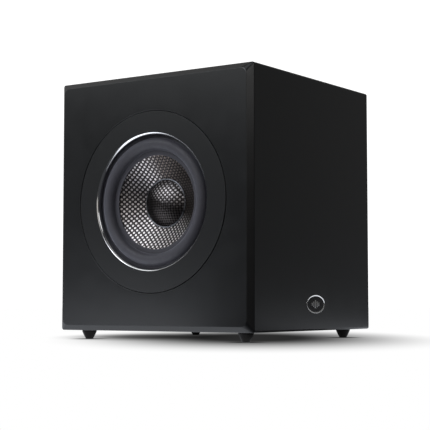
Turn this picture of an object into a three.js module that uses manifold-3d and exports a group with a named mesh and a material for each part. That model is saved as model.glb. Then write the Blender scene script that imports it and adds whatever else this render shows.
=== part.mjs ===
// A compact powered subwoofer: a lacquered box with an active driver in one side, a matching
// passive radiator in the opposite side, an amplifier panel at the back and a badge at the front.
// Millimetres, +Z up. The origin is on the floor under the middle of the cabinet. The driver
// fires along -Y, the radiator along +Y, the badge faces +X and the amplifier panel faces -X.

import * as THREE from 'three';
import { ConvexGeometry } from 'three/addons/geometries/ConvexGeometry.js';
import { mergeVertices } from 'three/addons/utils/BufferGeometryUtils.js';
import Module from 'manifold-3d';

// ---------------------------------------------------------------- driving dimensions

const BODY_WIDTH = 330;
const BODY_DEPTH = 330;
const BODY_HEIGHT = 355;
const FOOT_HEIGHT = 13;

const BAFFLE_THICKNESS = 25;
const WALL_THICKNESS = 18;
const REAR_THICKNESS = 25;
const CHAMFER = 7.5;

const HALF_X = BODY_WIDTH / 2;
const HALF_Y = BODY_DEPTH / 2;
const FLOOR_Z = FOOT_HEIGHT;
const ROOF_Z = FOOT_HEIGHT + BODY_HEIGHT;
const CENTRE_Z = FOOT_HEIGHT + BODY_HEIGHT / 2;
const INNER_Y = HALF_Y - BAFFLE_THICKNESS;

// Sides of the cabinet that carry a round unit: the sign of Y that the unit faces.
const DRIVER_SIDE = -1;
const RADIATOR_SIDE = 1;

// Round units: radii, and depths measured back from the cabinet face.
const GROOVE = 0.6;
const TRIM_RADIUS = 125;
const TRIM_THICKNESS = 6.5;
const TRIM_INNER_RADIUS = 95.4;
const BEZEL_RADIUS = 95.2;
const BEZEL_NOSE = 2.8;
const BEZEL_STEPS = 4;
const FLANGE_RADIUS = 108.5;
const FLANGE_INNER_RADIUS = 97.6;
const FLANGE_FRONT = 9;
const FLANGE_BACK = 13.5;
const LEDGE_RADIUS = 88.5;
const LEDGE_FRONT = 10.7;
const THROAT_RADIUS = 98.5;
const THROAT_GAP = 0.5;
const SCREW_CIRCLE = 103;
const SURROUND_RADIUS = 97;

const ROLL_RADIUS = 80.2;
const ROLL_HALF_WIDTH = 8.5;
const ROLL_CROWN = 2;
const ROLL_STEPS = 6;
const RUBBER = 1.2;
const LIP_RADIUS = 65;
const LIP_GAP = 0.3;

const CONE_EDGE_RADIUS = 70.5;
const CONE_EDGE_DEPTH = 14;
const CONE_RADIUS = 65;
const CONE_DEPTH = 14.6;
const CONE_THICKNESS = 1.3;
const CONE_NECK_RADIUS = 27.3;
const CONE_NECK_DEPTH = 40;
const CAP_RADIUS = 33;
const CAP_BASE = 35.6;
const CAP_APEX = 23.8;
const CAP_THICKNESS = 1;
const CAP_STEPS = 4;

// Driver motor and suspension.
const FORMER_INNER = 26.4;
const FORMER_OUTER = 26.9;
const FORMER_TOP = 38;
const COIL_OUTER = 28.4;
const COIL_TOP = 70;
const COIL_BOTTOM = 86;
const SPIDER_DEPTH = 55.6;
const SPIDER_INNER = 27.5;
const SPIDER_OUTER = 51;
const SPIDER_THICKNESS = 0.9;
const SPIDER_WAVE = 1.4;
const SPIDER_WAVES = 2;
const POLE_RADIUS = 25.7;
const POLE_FRONT = 72;
const VENT_RADIUS = 8;
const PLATE_INNER = 29.3;
const PLATE_RADIUS = 52;
const PLATE_FRONT = 74;
const PLATE_BACK = 82;
const MAGNET_INNER = 33;
const MAGNET_RADIUS = 54;
const MAGNET_BACK = 102;
const YOKE_BACK = 111;

// Driver basket: wall, spider ledge and the six openings between its spokes.
const BASKET_SHOULDER_DEPTH = 24;
const BASKET_WAIST_RADIUS = 62;
const BASKET_WAIST_DEPTH = 62;
const BASKET_BACK_RADIUS = 55;
const BASKET_RING_RADIUS = 40;
const BASKET_RING_THICKNESS = 4;
const BASKET_WALL = 4;
const SPIDER_LEDGE_RADIUS = 46.5;
const SPIDER_LEDGE_DEPTH = 57.3;
const SPIDER_LEDGE_THICKNESS = 3.2;
const WINDOW_COUNT = 6;
const WINDOW_FRONT = 29;
const WINDOW_BACK = 53;
const WINDOW_HALF_ANGLE = THREE.MathUtils.degToRad(20);
const TERMINAL_DEPTH = 58;
const TERMINAL_RADIUS = 67.8;
const TERMINAL_SIZE = [24, 12, 8.2];
const TAB_SPREAD = 7;
const TAB_WIDTH = 4.8;
const TAB_LENGTH = 7;
const TAB_LOW = 2.2;
const TAB_THICKNESS = 0.8;

// The flexible lead, as [depth, radius] spots above the driver axis: it leaves the terminal, dips
// through the topmost basket window and ends on the coil former.
const LEAD_THICKNESS = 1.6;
const LEAD_STEPS = 12;
const LEAD_SPOTS = [
  [TERMINAL_DEPTH - 0.5, TERMINAL_RADIUS + 5],
  [TERMINAL_DEPTH - 7, TERMINAL_RADIUS + 4.8],
  [WINDOW_BACK - 8, BASKET_WAIST_RADIUS],
  [WINDOW_BACK - 9, 44],
  [WINDOW_BACK - 6, COIL_OUTER],
];

// Passive radiator.
const DISH_RADIUS = 34;
const DISH_DEPTH = 31;
const MASS_RADIUS = 20;
const MASS_THICKNESS = 8;
const MASS_NUT_RADIUS = 6;
const MASS_NUT_HEIGHT = 5;
const MASS_GAP = 0.3;
const RADIATOR_FRAME_DEPTH = 30;
const LEDGE_BACK = FLANGE_BACK + 1;

// Feet, badge, brace.
const FOOT_TOP_RADIUS = 10.4;
const FOOT_BASE_RADIUS = 6.4;
const FOOT_EDGE_WIDTH = 1.8;
const FOOT_EDGE_HEIGHT = 1.2;
const FOOT_BAND = 2.5;
const FOOT_INSET_X = 30;
const FOOT_INSET_Y = 33;
const BADGE_HALF_LENGTH = 25;
const BADGE_HALF_HEIGHT = 13;
const BADGE_HEIGHT = FLOOR_Z + 37;
const BADGE_RIM = 2;
const BADGE_POCKET = 2.4;
const BADGE_PLATE = 1.5;
const BADGE_GAP = 0.3;
const BADGE_BED = 0.2;
const BRACE_NEAR = 95;
const BRACE_THICKNESS = 15;
const BRACE_POST = 40;
const BRACE_RAIL = 44.5;

// Amplifier panel, set back in a pocket of the rear wall.
const AMP_WIDTH = 150;
const AMP_HEIGHT = 236;
const AMP_CORNER = 6;
const AMP_SETBACK = 10;
const AMP_THICKNESS = 3;
const AMP_FIT = 0.6;
const AMP_OUT_X = -(HALF_X - AMP_SETBACK);
const AMP_IN_X = AMP_OUT_X + AMP_THICKNESS;
const AMP_OPENING_WIDTH = 128;
const AMP_OPENING_HEIGHT = 214;
const BOARD_STANDOFF = 14;
const BOARD_THICKNESS = 1.6;
const BOARD_X = AMP_IN_X + BOARD_STANDOFF;
const BOARD_WIDTH = 118;
const POST_RADIUS = 3;
const POST_SPREAD = 54;
const POST_GAP = 0.1;
const POST_SIDES = 6;

const KNOB_SPREAD = 32;
const KNOB_Z = CENTRE_Z + 66;
const KNOB_RADIUS = 9;
const KNOB_HEIGHT = 7.6;
const SHAFT_RADIUS = 3;
const SHAFT_LENGTH = 12.5;
const KNOB_FOOT = 0.8;
const KNOB_TAPER = 0.8;
const POINTER_WIDTH = 1.4;
const POINTER_DEPTH = 0.8;
const POINTER_START = 2;
const SWITCH_Z = CENTRE_Z + 26;
const SLIDE_SLOT = [4.4, 9.4];
const SLIDE_LEVER = [3.4, 4.2];
const LEVER_OUT = 3.4;
const LEVER_IN = 4.4;
const PHASE_TRAVEL = 4;
const JACK_SPREAD = 12;
const JACK_Z = CENTRE_Z - 12;
const JACK_BARREL_RADIUS = 4.1;
const JACK_BARREL_LENGTH = 8.6;
const JACK_COLLAR_RADIUS = 6.2;
const JACK_COLLAR = [0.2, 1.8];
const JACK_BORE_RADIUS = 1.7;
const JACK_BORE_DEPTH = 2;
const JACK_PIN_RADIUS = 1.1;
const JACK_BODY_BACK = 5;
const JACK_PIN_BACK = 13;

const LIGHT_Z = CENTRE_Z + 96;
const LIGHT_LENGTH = 16.5;
const LIGHT_RADIUS = 1.6;
const LIGHT_TIP_RADIUS = 1.1;
const LIGHT_SHOULDER = 0.6;
const LIGHT_BROW = 1.5;
const LIGHT_TIP = 1.8;

const INLET_Z = CENTRE_Z - 68;
const INLET_FLANGE = [63, 31];
const INLET_BODY = [59, 27];
const INLET_DEPTH = 20;
const FLANGE_OUT = 2;
const FLANGE_GAP = 0.2;
const SOCKET_Y = -14;
const SOCKET_HALF_WIDTH = 12;
const SOCKET_HALF_HEIGHT = 8.5;
const SOCKET_CORNER = 4.5;
const SOCKET_BACK = 2;
const BLADE_SIZE = [2, 4.4];
const BLADE_SETBACK = 2;
const BLADE_END = 4;
const BLADE_SPOTS = [[-7, -1.5], [0, 2.5], [7, -1.5]];

// The rocker: a flat V across its pivot with a deeper belly, in a pocket of the inlet housing.
const ROCKER_Y = 20;
const ROCKER_TILT = THREE.MathUtils.degToRad(9);
const ROCKER_PIVOT_X = AMP_IN_X;
const ROCKER_HALF_LENGTH = 9;
const ROCKER_WIDTH = 11.8;
const ROCKER_WAIST = 6.2;
const ROCKER_SIDE = 2;
const ROCKER_BELLY = 5.5;
const ROCKER_TAPER = 0.4;
const ROCKER_PIN_RADIUS = 1.3;
const ROCKER_PIN_HALF_LENGTH = 7.4;
const PIN_GAP = 0.3;
const PIN_END_GAP = 0.4;
const POCKET_SIZE = [13, 20.6];
const POCKET_DEPTH = 12;

// Parts on the circuit board: [width, height, depth].
const POT_BODY = [16, 16, 11];
const POT_BORE = 7;
const SWITCH_BODY = [9, 16, 9];
const CHIP_BODY = [22, 14, 4];
const CHIP_Z = SWITCH_Z + 22;
const CAPACITOR_RADIUS = 7.5;
const CAPACITOR_LENGTH = 24.4;
const CAPACITOR_Z = JACK_Z + 4;
const CAPACITOR_SPOTS = [-30, -10, 10, 30];
const BOARD_LOW_Z = JACK_Z - 14;
const BOARD_HIGH_Z = LIGHT_Z + 6;
const BOARD_ROOT = BOARD_THICKNESS / 3;
const POST_LOW_Z = JACK_Z - 8;
const POST_HIGH_Z = LIGHT_Z - 2;

const TRANSFORMER_RADIUS = 38;
const TRANSFORMER_BORE = 10;
const TRANSFORMER_HEIGHT = 34;
const TRANSFORMER_ROUND = 4;
const TRANSFORMER_SPOT = [-80, 20];

// The loudspeaker cable runs in a wide bow from the terminal tab to the board.
const CABLE_RADIUS = 2;
const CABLE_STEPS = 20;
const CABLE_SPOTS = [
  [TAB_SPREAD, -HALF_Y + 79, CENTRE_Z + 70.4],
  [4, -HALF_Y + 95, CENTRE_Z + 76],
  [-40, -HALF_Y + 118, CENTRE_Z + 92],
  [-90, -30, CENTRE_Z + 90],
  [-118, -8, CENTRE_Z + 76],
  [BOARD_X + BOARD_THICKNESS + 1.5, 0, CENTRE_Z + 70],
];

// Screws: head radius, shank radius and length; their pilot and clearance holes are a little wider.
const FRAME_SCREW = [3.4, 1.8, 13.5];
const AMP_SCREW = [3.2, 1.6, 11.5];
const AMP_SCREW_INSET = 5.5;
const SCREW_HEAD = 2.2;
const SCREW_TIP = 2;
const DRIVE_DEPTH = 1.2;
const PILOT_GAP = 0.3;
const PILOT_END = 1;
const AMP_PILOT_PAST = 2.5;
const HOLE_GAP = 0.4;
const SHAFT_GAP = 0.6;

// How far a cutting shape reaches past the surface that it cuts.
const PAST = 1;

const ROUND = 32;
const FINE = 20;
const SMALL = 10;
const TINY = 8;
const COARSE = 3;
const MERGE = 1e-4;

// ---------------------------------------------------------------- solids and booleans

const wasm = await Module();
wasm.setup();

/** A closed solid for boolean work, from any closed geometry. */
function solid(geometry) {
  const bare = geometry.clone();
  bare.deleteAttribute('normal');
  bare.deleteAttribute('uv');
  const merged = mergeVertices(bare, MERGE);
  const corners = merged.index.array;
  const triVerts = [];
  for (let i = 0; i < corners.length; i += 3) {
    const [a, b, c] = corners.slice(i, i + 3);
    if (a !== b && b !== c && c !== a) {
      triVerts.push(a, b, c);
    }
  }
  const mesh = new wasm.Mesh({
    numProp: 3,
    vertProperties: merged.attributes.position.array,
    triVerts: Uint32Array.from(triVerts),
  });
  return new wasm.Manifold(mesh);
}

/** The geometry of a boolean result. */
function geometryOf(result) {
  const mesh = result.getMesh();
  const geometry = new THREE.BufferGeometry();
  geometry.setAttribute('position', new THREE.BufferAttribute(new Float32Array(mesh.vertProperties), 3));
  geometry.setIndex(new THREE.BufferAttribute(new Uint32Array(mesh.triVerts), 1));
  geometry.computeVertexNormals();
  return geometry;
}

/** The first geometry with the others cut away. */
function cut(base, ...tools) {
  return geometryOf(tools.reduce((left, tool) => left.subtract(solid(tool)), solid(base)));
}

/** Several touching or overlapping geometries as one. */
function join(base, ...others) {
  return geometryOf(others.reduce((left, other) => left.add(solid(other)), solid(base)));
}

/** A block between two opposite corners. */
function block(low, high) {
  const size = high.map((value, axis) => value - low[axis]);
  const middle = high.map((value, axis) => (value + low[axis]) / 2);
  return new THREE.BoxGeometry(...size).translate(...middle);
}

/** A profile of [radius, height] points turned about Y; it closes on itself or on the axis. */
function turned(profile, segments = ROUND) {
  const points = profile.map(([radius, height]) => new THREE.Vector2(radius, height));
  if (THREE.ShapeUtils.area(points) < 0) {
    points.reverse();
  }
  const onAxis = points.some((point) => point.x === 0);
  if (!onAxis) {
    points.push(points[0].clone());
  }
  return new THREE.LatheGeometry(points, segments);
}

/** A turned piece of a round unit: [radius, depth behind the face] points, on one side. */
function unitTurned(side, profile, segments = ROUND) {
  return turned(profile.map(([radius, depth]) => [radius, side * (HALF_Y - depth)]), segments);
}

/** A turned piece standing up along Z. */
function upright(profile, segments) {
  return turned(profile, segments).rotateX(Math.PI / 2);
}

/** A turned piece whose height runs outward from the amplifier panel, along -X. */
function outward(profile, segments) {
  return turned(profile, segments).rotateZ(Math.PI / 2);
}

/** A flat outline in the Y-Z plane made thick along +X from a given X. */
function slab(shape, fromX, thickness, curveSegments = SMALL) {
  const geometry = new THREE.ExtrudeGeometry(shape, { depth: thickness, bevelEnabled: false, curveSegments });
  geometry.rotateX(Math.PI / 2);
  geometry.rotateZ(Math.PI / 2);
  return geometry.translate(fromX, 0, 0);
}

/** A rectangle with round corners, in the Y-Z plane. */
function roundedRectangle(centreY, centreZ, width, height, radius) {
  const [left, right] = [centreY - width / 2, centreY + width / 2];
  const [low, high] = [centreZ - height / 2, centreZ + height / 2];
  const shape = new THREE.Shape();
  shape.absarc(right - radius, low + radius, radius, -Math.PI / 2, 0);
  shape.absarc(right - radius, high - radius, radius, 0, Math.PI / 2);
  shape.absarc(left + radius, high - radius, radius, Math.PI / 2, Math.PI);
  shape.absarc(left + radius, low + radius, radius, Math.PI, 1.5 * Math.PI);
  shape.closePath();
  return shape;
}

/** A round bar or hole along X. */
function barX(fromX, toX, y, z, radius, segments = SMALL) {
  const length = Math.abs(toX - fromX);
  const bar = new THREE.CylinderGeometry(radius, radius, length, segments);
  return bar.rotateZ(Math.PI / 2).translate((fromX + toX) / 2, y, z);
}

/** A round bar or hole along Y. */
function barY(fromY, toY, x, z, radius, segments = SMALL) {
  const length = Math.abs(toY - fromY);
  const bar = new THREE.CylinderGeometry(radius, radius, length, segments);
  return bar.translate(x, (fromY + toY) / 2, z);
}

/** A round cable along a smooth curve through points. */
function cable(points, radius, steps) {
  const path = new THREE.CatmullRomCurve3(points.map((point) => new THREE.Vector3(...point)));
  const outline = new THREE.Shape();
  outline.absarc(0, 0, radius, 0, 2 * Math.PI);
  return new THREE.ExtrudeGeometry(outline, { steps, extrudePath: path, curveSegments: 4 });
}

// ---------------------------------------------------------------- materials

function material(color, roughness, metalness) {
  return new THREE.MeshStandardMaterial({ color, roughness, metalness });
}

const lacquer = material(0x1b1d1f, 0.42, 0);
const fibreboard = material(0x8a6a48, 0.85, 0);
const trimBlack = material(0x17191a, 0.5, 0.1);
const polished = material(0xe6e7ea, 0.12, 1);
const rubberGrey = material(0x2c2b31, 0.5, 0);
const rubberBlack = material(0x0d0d0d, 0.75, 0);
const wovenGlass = material(0x6d6966, 0.35, 0.2);
const castAlloy = material(0x24262a, 0.55, 0.8);
const steel = material(0x8c8f93, 0.35, 1);
const ferrite = material(0x2b2b2d, 0.7, 0.1);
const copper = material(0xb06a35, 0.35, 1);
const kapton = material(0x9a6a2c, 0.4, 0);
const cloth = material(0xc79a4e, 0.9, 0);
const panelBlack = material(0x141414, 0.6, 0.4);
const boardGreen = material(0x1f5b38, 0.6, 0);
const plasticBlack = material(0x111214, 0.45, 0);
const windingTape = material(0xa8882f, 0.5, 0);
const lightBlue = material(0x8fc3ff, 0.2, 0);
const screwBlack = material(0x1a1a1b, 0.4, 0.9);
const nickel = material(0xb9babc, 0.25, 1);

// ---------------------------------------------------------------- pieces of both round units

/** A flat cover ring flush with the cabinet face. */
function trimRing(side) {
  return unitTurned(side, [
    [TRIM_INNER_RADIUS, 0],
    [TRIM_RADIUS, 0],
    [TRIM_RADIUS, TRIM_THICKNESS],
    [TRIM_INNER_RADIUS, TRIM_THICKNESS],
  ]);
}

/** A polished ring whose quarter-round nose faces the cone. */
function bezelRing(side) {
  const nose = [];
  for (let i = 0; i <= BEZEL_STEPS; i += 1) {
    const angle = (Math.PI / 2) * (i / BEZEL_STEPS);
    nose.push([BEZEL_RADIUS - BEZEL_NOSE * Math.sin(angle), BEZEL_NOSE * (1 - Math.cos(angle))]);
  }
  return unitTurned(side, [
    ...nose,
    [BEZEL_RADIUS - BEZEL_NOSE, TRIM_THICKNESS],
    [BEZEL_RADIUS, TRIM_THICKNESS],
  ]);
}

/** Points of the half roll, at a given distance from its centre line. */
function rollArc(radius, steps) {
  const points = [];
  for (let i = 0; i <= steps; i += 1) {
    const angle = (Math.PI * i) / steps;
    const depth = ROLL_CROWN + ROLL_HALF_WIDTH - radius * Math.sin(angle);
    points.push([ROLL_RADIUS + radius * Math.cos(angle), depth]);
  }
  return points;
}

/** The rubber surround: outer flange, half roll and inner lip over the cone edge. */
function surround(side) {
  const footDepth = ROLL_CROWN + ROLL_HALF_WIDTH;
  const lipTop = CONE_EDGE_DEPTH - LIP_GAP - RUBBER;
  return unitTurned(side, [
    [SURROUND_RADIUS, footDepth],
    [SURROUND_RADIUS, footDepth - RUBBER],
    ...rollArc(ROLL_HALF_WIDTH, ROLL_STEPS),
    [ROLL_RADIUS - ROLL_HALF_WIDTH, lipTop],
    [LIP_RADIUS, lipTop],
    [LIP_RADIUS, lipTop + RUBBER],
    [ROLL_RADIUS - ROLL_HALF_WIDTH + RUBBER, lipTop + RUBBER],
    ...rollArc(ROLL_HALF_WIDTH - RUBBER, ROLL_STEPS).reverse(),
  ]);
}

/** The profile shared by both frames: screw flange, step and ledge for the surround. */
const FRAME_FRONT = [
  [LEDGE_RADIUS, LEDGE_FRONT],
  [FLANGE_INNER_RADIUS, LEDGE_FRONT],
  [FLANGE_INNER_RADIUS, FLANGE_FRONT],
  [FLANGE_RADIUS, FLANGE_FRONT],
  [FLANGE_RADIUS, FLANGE_BACK],
  [THROAT_RADIUS, FLANGE_BACK],
];

/** X and Z of the four frame screws. */
function screwSpots() {
  const angles = [45, 135, 225, 315].map((degrees) => THREE.MathUtils.degToRad(degrees));
  return angles.map((angle) => [SCREW_CIRCLE * Math.cos(angle), CENTRE_Z + SCREW_CIRCLE * Math.sin(angle)]);
}

/** Clearance or pilot holes for the frame screws, between two depths. */
function screwHoles(side, gap, fromDepth, toDepth) {
  const [, shank] = FRAME_SCREW;
  const [from, to] = [fromDepth, toDepth].map((depth) => side * (HALF_Y - depth));
  return screwSpots().map(([x, z]) => barY(from, to, x, z, shank + gap, TINY));
}

/** A frame with clearance holes for its screws. */
function drilled(body, side) {
  const holes = screwHoles(side, HOLE_GAP, FLANGE_FRONT - PAST, FLANGE_BACK + PAST);
  return cut(body, ...holes.map((hole) => hole.translate(0, 0, -CENTRE_Z)));
}

// ---------------------------------------------------------------- cabinet

/** A full face panel with chamfered edges, a stepped recess and a round opening. */
function baffle(side) {
  const corners = [
    [HALF_X, 0, BAFFLE_THICKNESS],
    [HALF_X, 0, CHAMFER],
    [HALF_X - CHAMFER, CHAMFER, 0],
  ];
  const points = corners.flatMap(([x, inset, depth]) => [-x, x].flatMap((cornerX) => [
    new THREE.Vector3(cornerX, side * (HALF_Y - depth), FLOOR_Z + inset),
    new THREE.Vector3(cornerX, side * (HALF_Y - depth), ROOF_Z - inset),
  ]));
  const recess = unitTurned(side, [
    [0, -PAST],
    [TRIM_RADIUS + GROOVE, -PAST],
    [TRIM_RADIUS + GROOVE, TRIM_THICKNESS],
    [FLANGE_RADIUS + THROAT_GAP, TRIM_THICKNESS],
    [FLANGE_RADIUS + THROAT_GAP, FLANGE_BACK],
    [THROAT_RADIUS + THROAT_GAP, FLANGE_BACK],
    [THROAT_RADIUS + THROAT_GAP, BAFFLE_THICKNESS + PAST],
    [0, BAFFLE_THICKNESS + PAST],
  ]).translate(0, 0, CENTRE_Z);
  const pilots = screwHoles(side, PILOT_GAP, FLANGE_BACK - PAST, BAFFLE_THICKNESS - PILOT_END);
  return cut(new ConvexGeometry(points), recess, ...pilots);
}

/** The outline of the badge, grown by a margin. */
function badgeOutline(margin) {
  const shape = new THREE.Shape();
  shape.absellipse(0, BADGE_HEIGHT, BADGE_HALF_LENGTH + margin, BADGE_HALF_HEIGHT + margin, 0, 2 * Math.PI);
  return shape;
}

/** The wall that carries the badge, with a shallow pocket for it. */
function badgePanel() {
  const wall = block(
    [HALF_X - WALL_THICKNESS, -INNER_Y, FLOOR_Z + WALL_THICKNESS],
    [HALF_X, INNER_Y, ROOF_Z - WALL_THICKNESS],
  );
  return cut(wall, slab(badgeOutline(BADGE_GAP), HALF_X - BADGE_POCKET, BADGE_POCKET + PAST, FINE));
}

/** The rear wall, with a rebate for the amplifier plate and an opening behind it. */
function rearPanel() {
  const wall = block(
    [-HALF_X, -INNER_Y, FLOOR_Z + WALL_THICKNESS],
    [-HALF_X + REAR_THICKNESS, INNER_Y, ROOF_Z - WALL_THICKNESS],
  );
  const rebate = roundedRectangle(0, CENTRE_Z, AMP_WIDTH + 2 * AMP_FIT, AMP_HEIGHT + 2 * AMP_FIT, AMP_CORNER);
  const opening = roundedRectangle(0, CENTRE_Z, AMP_OPENING_WIDTH, AMP_OPENING_HEIGHT, AMP_CORNER);
  const [, shank, length] = AMP_SCREW;
  const pilots = ampScrewSpots().map(([y, z]) => barX(
    AMP_IN_X - PAST,
    AMP_OUT_X + length + AMP_PILOT_PAST,
    y,
    z,
    shank + PILOT_GAP,
    TINY,
  ));
  return cut(
    wall,
    slab(rebate, -HALF_X - PAST, AMP_IN_X + HALF_X + PAST, COARSE),
    slab(opening, AMP_IN_X - PAST, REAR_THICKNESS, COARSE),
    ...pilots,
  );
}

/** A plain floor or roof board between the two baffles. */
function board(lowZ) {
  return block([-HALF_X, -INNER_Y, lowZ], [HALF_X, INNER_Y, lowZ + WALL_THICKNESS]);
}

/** An inner brace with a large window, tying the walls, floor and roof together. */
function windowBrace() {
  const frame = block(
    [-HALF_X + REAR_THICKNESS, BRACE_NEAR, FLOOR_Z + WALL_THICKNESS],
    [HALF_X - WALL_THICKNESS, BRACE_NEAR + BRACE_THICKNESS, ROOF_Z - WALL_THICKNESS],
  );
  const window = block(
    [-HALF_X + REAR_THICKNESS + BRACE_POST, BRACE_NEAR - PAST, FLOOR_Z + WALL_THICKNESS + BRACE_RAIL],
    [
      HALF_X - WALL_THICKNESS - BRACE_POST,
      BRACE_NEAR + BRACE_THICKNESS + PAST,
      ROOF_Z - WALL_THICKNESS - BRACE_RAIL,
    ],
  );
  return cut(frame, window);
}

/** A rubber foot that narrows toward a flat base. */
function foot() {
  return upright([
    [0, 0],
    [FOOT_BASE_RADIUS, 0],
    [FOOT_BASE_RADIUS + FOOT_EDGE_WIDTH, FOOT_EDGE_HEIGHT],
    [FOOT_TOP_RADIUS, FOOT_HEIGHT - FOOT_BAND],
    [FOOT_TOP_RADIUS, FOOT_HEIGHT],
    [0, FOOT_HEIGHT],
  ], FINE);
}

/** The raised oval rim of the badge. */
function badgeRim() {
  const shape = badgeOutline(0);
  shape.holes.push(badgeOutline(-BADGE_RIM));
  return slab(shape, HALF_X - BADGE_POCKET + BADGE_BED, BADGE_POCKET - BADGE_BED, FINE);
}

/** The dark oval plate inside the rim. */
function badgeDisc() {
  const outline = badgeOutline(-BADGE_RIM - BADGE_BED);
  return slab(outline, HALF_X - BADGE_POCKET + BADGE_BED, BADGE_PLATE, FINE);
}

// ---------------------------------------------------------------- driver

/** One sector-shaped opening through the basket wall, in the middle of the driver. */
function basketWindow(turn) {
  const outline = new THREE.Shape();
  outline.absarc(0, 0, SPIDER_LEDGE_RADIUS, turn - WINDOW_HALF_ANGLE, turn + WINDOW_HALF_ANGLE, false);
  outline.absarc(0, 0, TRIM_RADIUS, turn + WINDOW_HALF_ANGLE, turn - WINDOW_HALF_ANGLE, true);
  outline.closePath();
  const depth = WINDOW_BACK - WINDOW_FRONT;
  const geometry = new THREE.ExtrudeGeometry(outline, { depth, bevelEnabled: false, curveSegments: 2 });
  return geometry.rotateX(Math.PI / 2).translate(0, -HALF_Y + WINDOW_BACK, 0);
}

/** The cast basket: flange, windowed wall, spider ledge and motor ring. */
function driverBasket() {
  const ringFront = PLATE_FRONT - BASKET_RING_THICKNESS;
  const ledgeBack = SPIDER_LEDGE_DEPTH + SPIDER_LEDGE_THICKNESS;
  const body = unitTurned(DRIVER_SIDE, [
    ...FRAME_FRONT,
    [THROAT_RADIUS, BASKET_SHOULDER_DEPTH],
    [BASKET_WAIST_RADIUS, BASKET_WAIST_DEPTH],
    [BASKET_BACK_RADIUS, PLATE_FRONT],
    [BASKET_RING_RADIUS, PLATE_FRONT],
    [BASKET_RING_RADIUS, ringFront],
    [BASKET_BACK_RADIUS - BASKET_WALL, ringFront],
    [BASKET_BACK_RADIUS - BASKET_WALL, ledgeBack],
    [SPIDER_LEDGE_RADIUS, ledgeBack],
    [SPIDER_LEDGE_RADIUS, SPIDER_LEDGE_DEPTH],
    [BASKET_WAIST_RADIUS - BASKET_WALL, SPIDER_LEDGE_DEPTH],
    [THROAT_RADIUS - BASKET_WALL, BASKET_SHOULDER_DEPTH - BASKET_WALL],
    [THROAT_RADIUS - BASKET_WALL, FLANGE_BACK],
    [LEDGE_RADIUS, FLANGE_BACK],
  ]);
  const windows = [];
  for (let i = 0; i < WINDOW_COUNT; i += 1) {
    windows.push(basketWindow((2 * Math.PI * i) / WINDOW_COUNT + Math.PI / 2));
  }
  return drilled(cut(body, ...windows), DRIVER_SIDE);
}

/** The woven cone, from its edge under the surround lip down to the neck. */
function driverCone() {
  return unitTurned(DRIVER_SIDE, [
    [CONE_EDGE_RADIUS, CONE_EDGE_DEPTH],
    [CONE_RADIUS, CONE_DEPTH],
    [CONE_NECK_RADIUS, CONE_NECK_DEPTH],
    [CONE_NECK_RADIUS, CONE_NECK_DEPTH + CONE_THICKNESS],
    [CONE_RADIUS, CONE_DEPTH + CONE_THICKNESS],
    [CONE_EDGE_RADIUS, CONE_EDGE_DEPTH + CONE_THICKNESS],
  ]);
}

/** Points of a shallow dome, from the axis to the rim, moved back by an offset. */
function domeArc(offset) {
  const rise = CAP_BASE - CAP_APEX;
  const sphere = (CAP_RADIUS ** 2 + rise ** 2) / (2 * rise);
  const points = [];
  for (let i = 0; i <= CAP_STEPS; i += 1) {
    const radius = (CAP_RADIUS * i) / CAP_STEPS;
    points.push([radius, CAP_APEX + offset + sphere - Math.sqrt(sphere ** 2 - radius ** 2)]);
  }
  return points;
}

/** The convex dust cap over the coil. */
function dustCap() {
  return unitTurned(DRIVER_SIDE, [...domeArc(0), ...domeArc(-CAP_THICKNESS).reverse()]);
}

/** A plain ring of one thickness about the driver axis. */
function ring(inner, outer, front, back) {
  return unitTurned(DRIVER_SIDE, [[inner, front], [outer, front], [outer, back], [inner, back]]);
}

/** The corrugated spider that centres the coil. */
function spider() {
  const steps = 4 * SPIDER_WAVES;
  const front = [];
  for (let i = 0; i <= steps; i += 1) {
    const share = i / steps;
    const wave = SPIDER_WAVE * Math.sin(2 * Math.PI * SPIDER_WAVES * share);
    front.push([SPIDER_INNER + share * (SPIDER_OUTER - SPIDER_INNER), SPIDER_DEPTH + wave]);
  }
  const back = front.map(([radius, depth]) => [radius, depth + SPIDER_THICKNESS]);
  return unitTurned(DRIVER_SIDE, [...front, ...back.reverse()], FINE);
}

/** The T-yoke: back plate and vented pole in one. */
function yoke() {
  return unitTurned(DRIVER_SIDE, [
    [VENT_RADIUS, POLE_FRONT],
    [POLE_RADIUS, POLE_FRONT],
    [POLE_RADIUS, MAGNET_BACK],
    [PLATE_RADIUS, MAGNET_BACK],
    [PLATE_RADIUS, YOKE_BACK],
    [VENT_RADIUS, YOKE_BACK],
  ]);
}

/** The terminal block on top of the basket wall, with two tabs. */
function driverTerminal() {
  const [width, length, height] = TERMINAL_SIZE;
  const y = -HALF_Y + TERMINAL_DEPTH;
  const back = y + length;
  const body = block([-width / 2, y, TERMINAL_RADIUS], [width / 2, back, TERMINAL_RADIUS + height]);
  const tabs = [-TAB_SPREAD, TAB_SPREAD].map((x) => block(
    [x - TAB_WIDTH / 2, back - PAST, TERMINAL_RADIUS + TAB_LOW],
    [x + TAB_WIDTH / 2, back + TAB_LENGTH, TERMINAL_RADIUS + TAB_LOW + TAB_THICKNESS],
  ));
  return join(body, ...tabs);
}

/** The flexible lead from the terminal through a basket window to the coil former. */
function tinselLead() {
  const spots = LEAD_SPOTS.map(([depth, radius]) => [0, -HALF_Y + depth, radius]);
  return cable(spots, LEAD_THICKNESS / 2, LEAD_STEPS);
}

// ---------------------------------------------------------------- passive radiator

/** The shallow frame that holds the radiator. */
function radiatorFrame() {
  const body = unitTurned(RADIATOR_SIDE, [
    ...FRAME_FRONT,
    [THROAT_RADIUS, RADIATOR_FRAME_DEPTH],
    [THROAT_RADIUS - BASKET_WALL, RADIATOR_FRAME_DEPTH],
    [THROAT_RADIUS - BASKET_WALL, LEDGE_BACK],
    [LEDGE_RADIUS, LEDGE_BACK],
  ]);
  return drilled(body, RADIATOR_SIDE);
}

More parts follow.
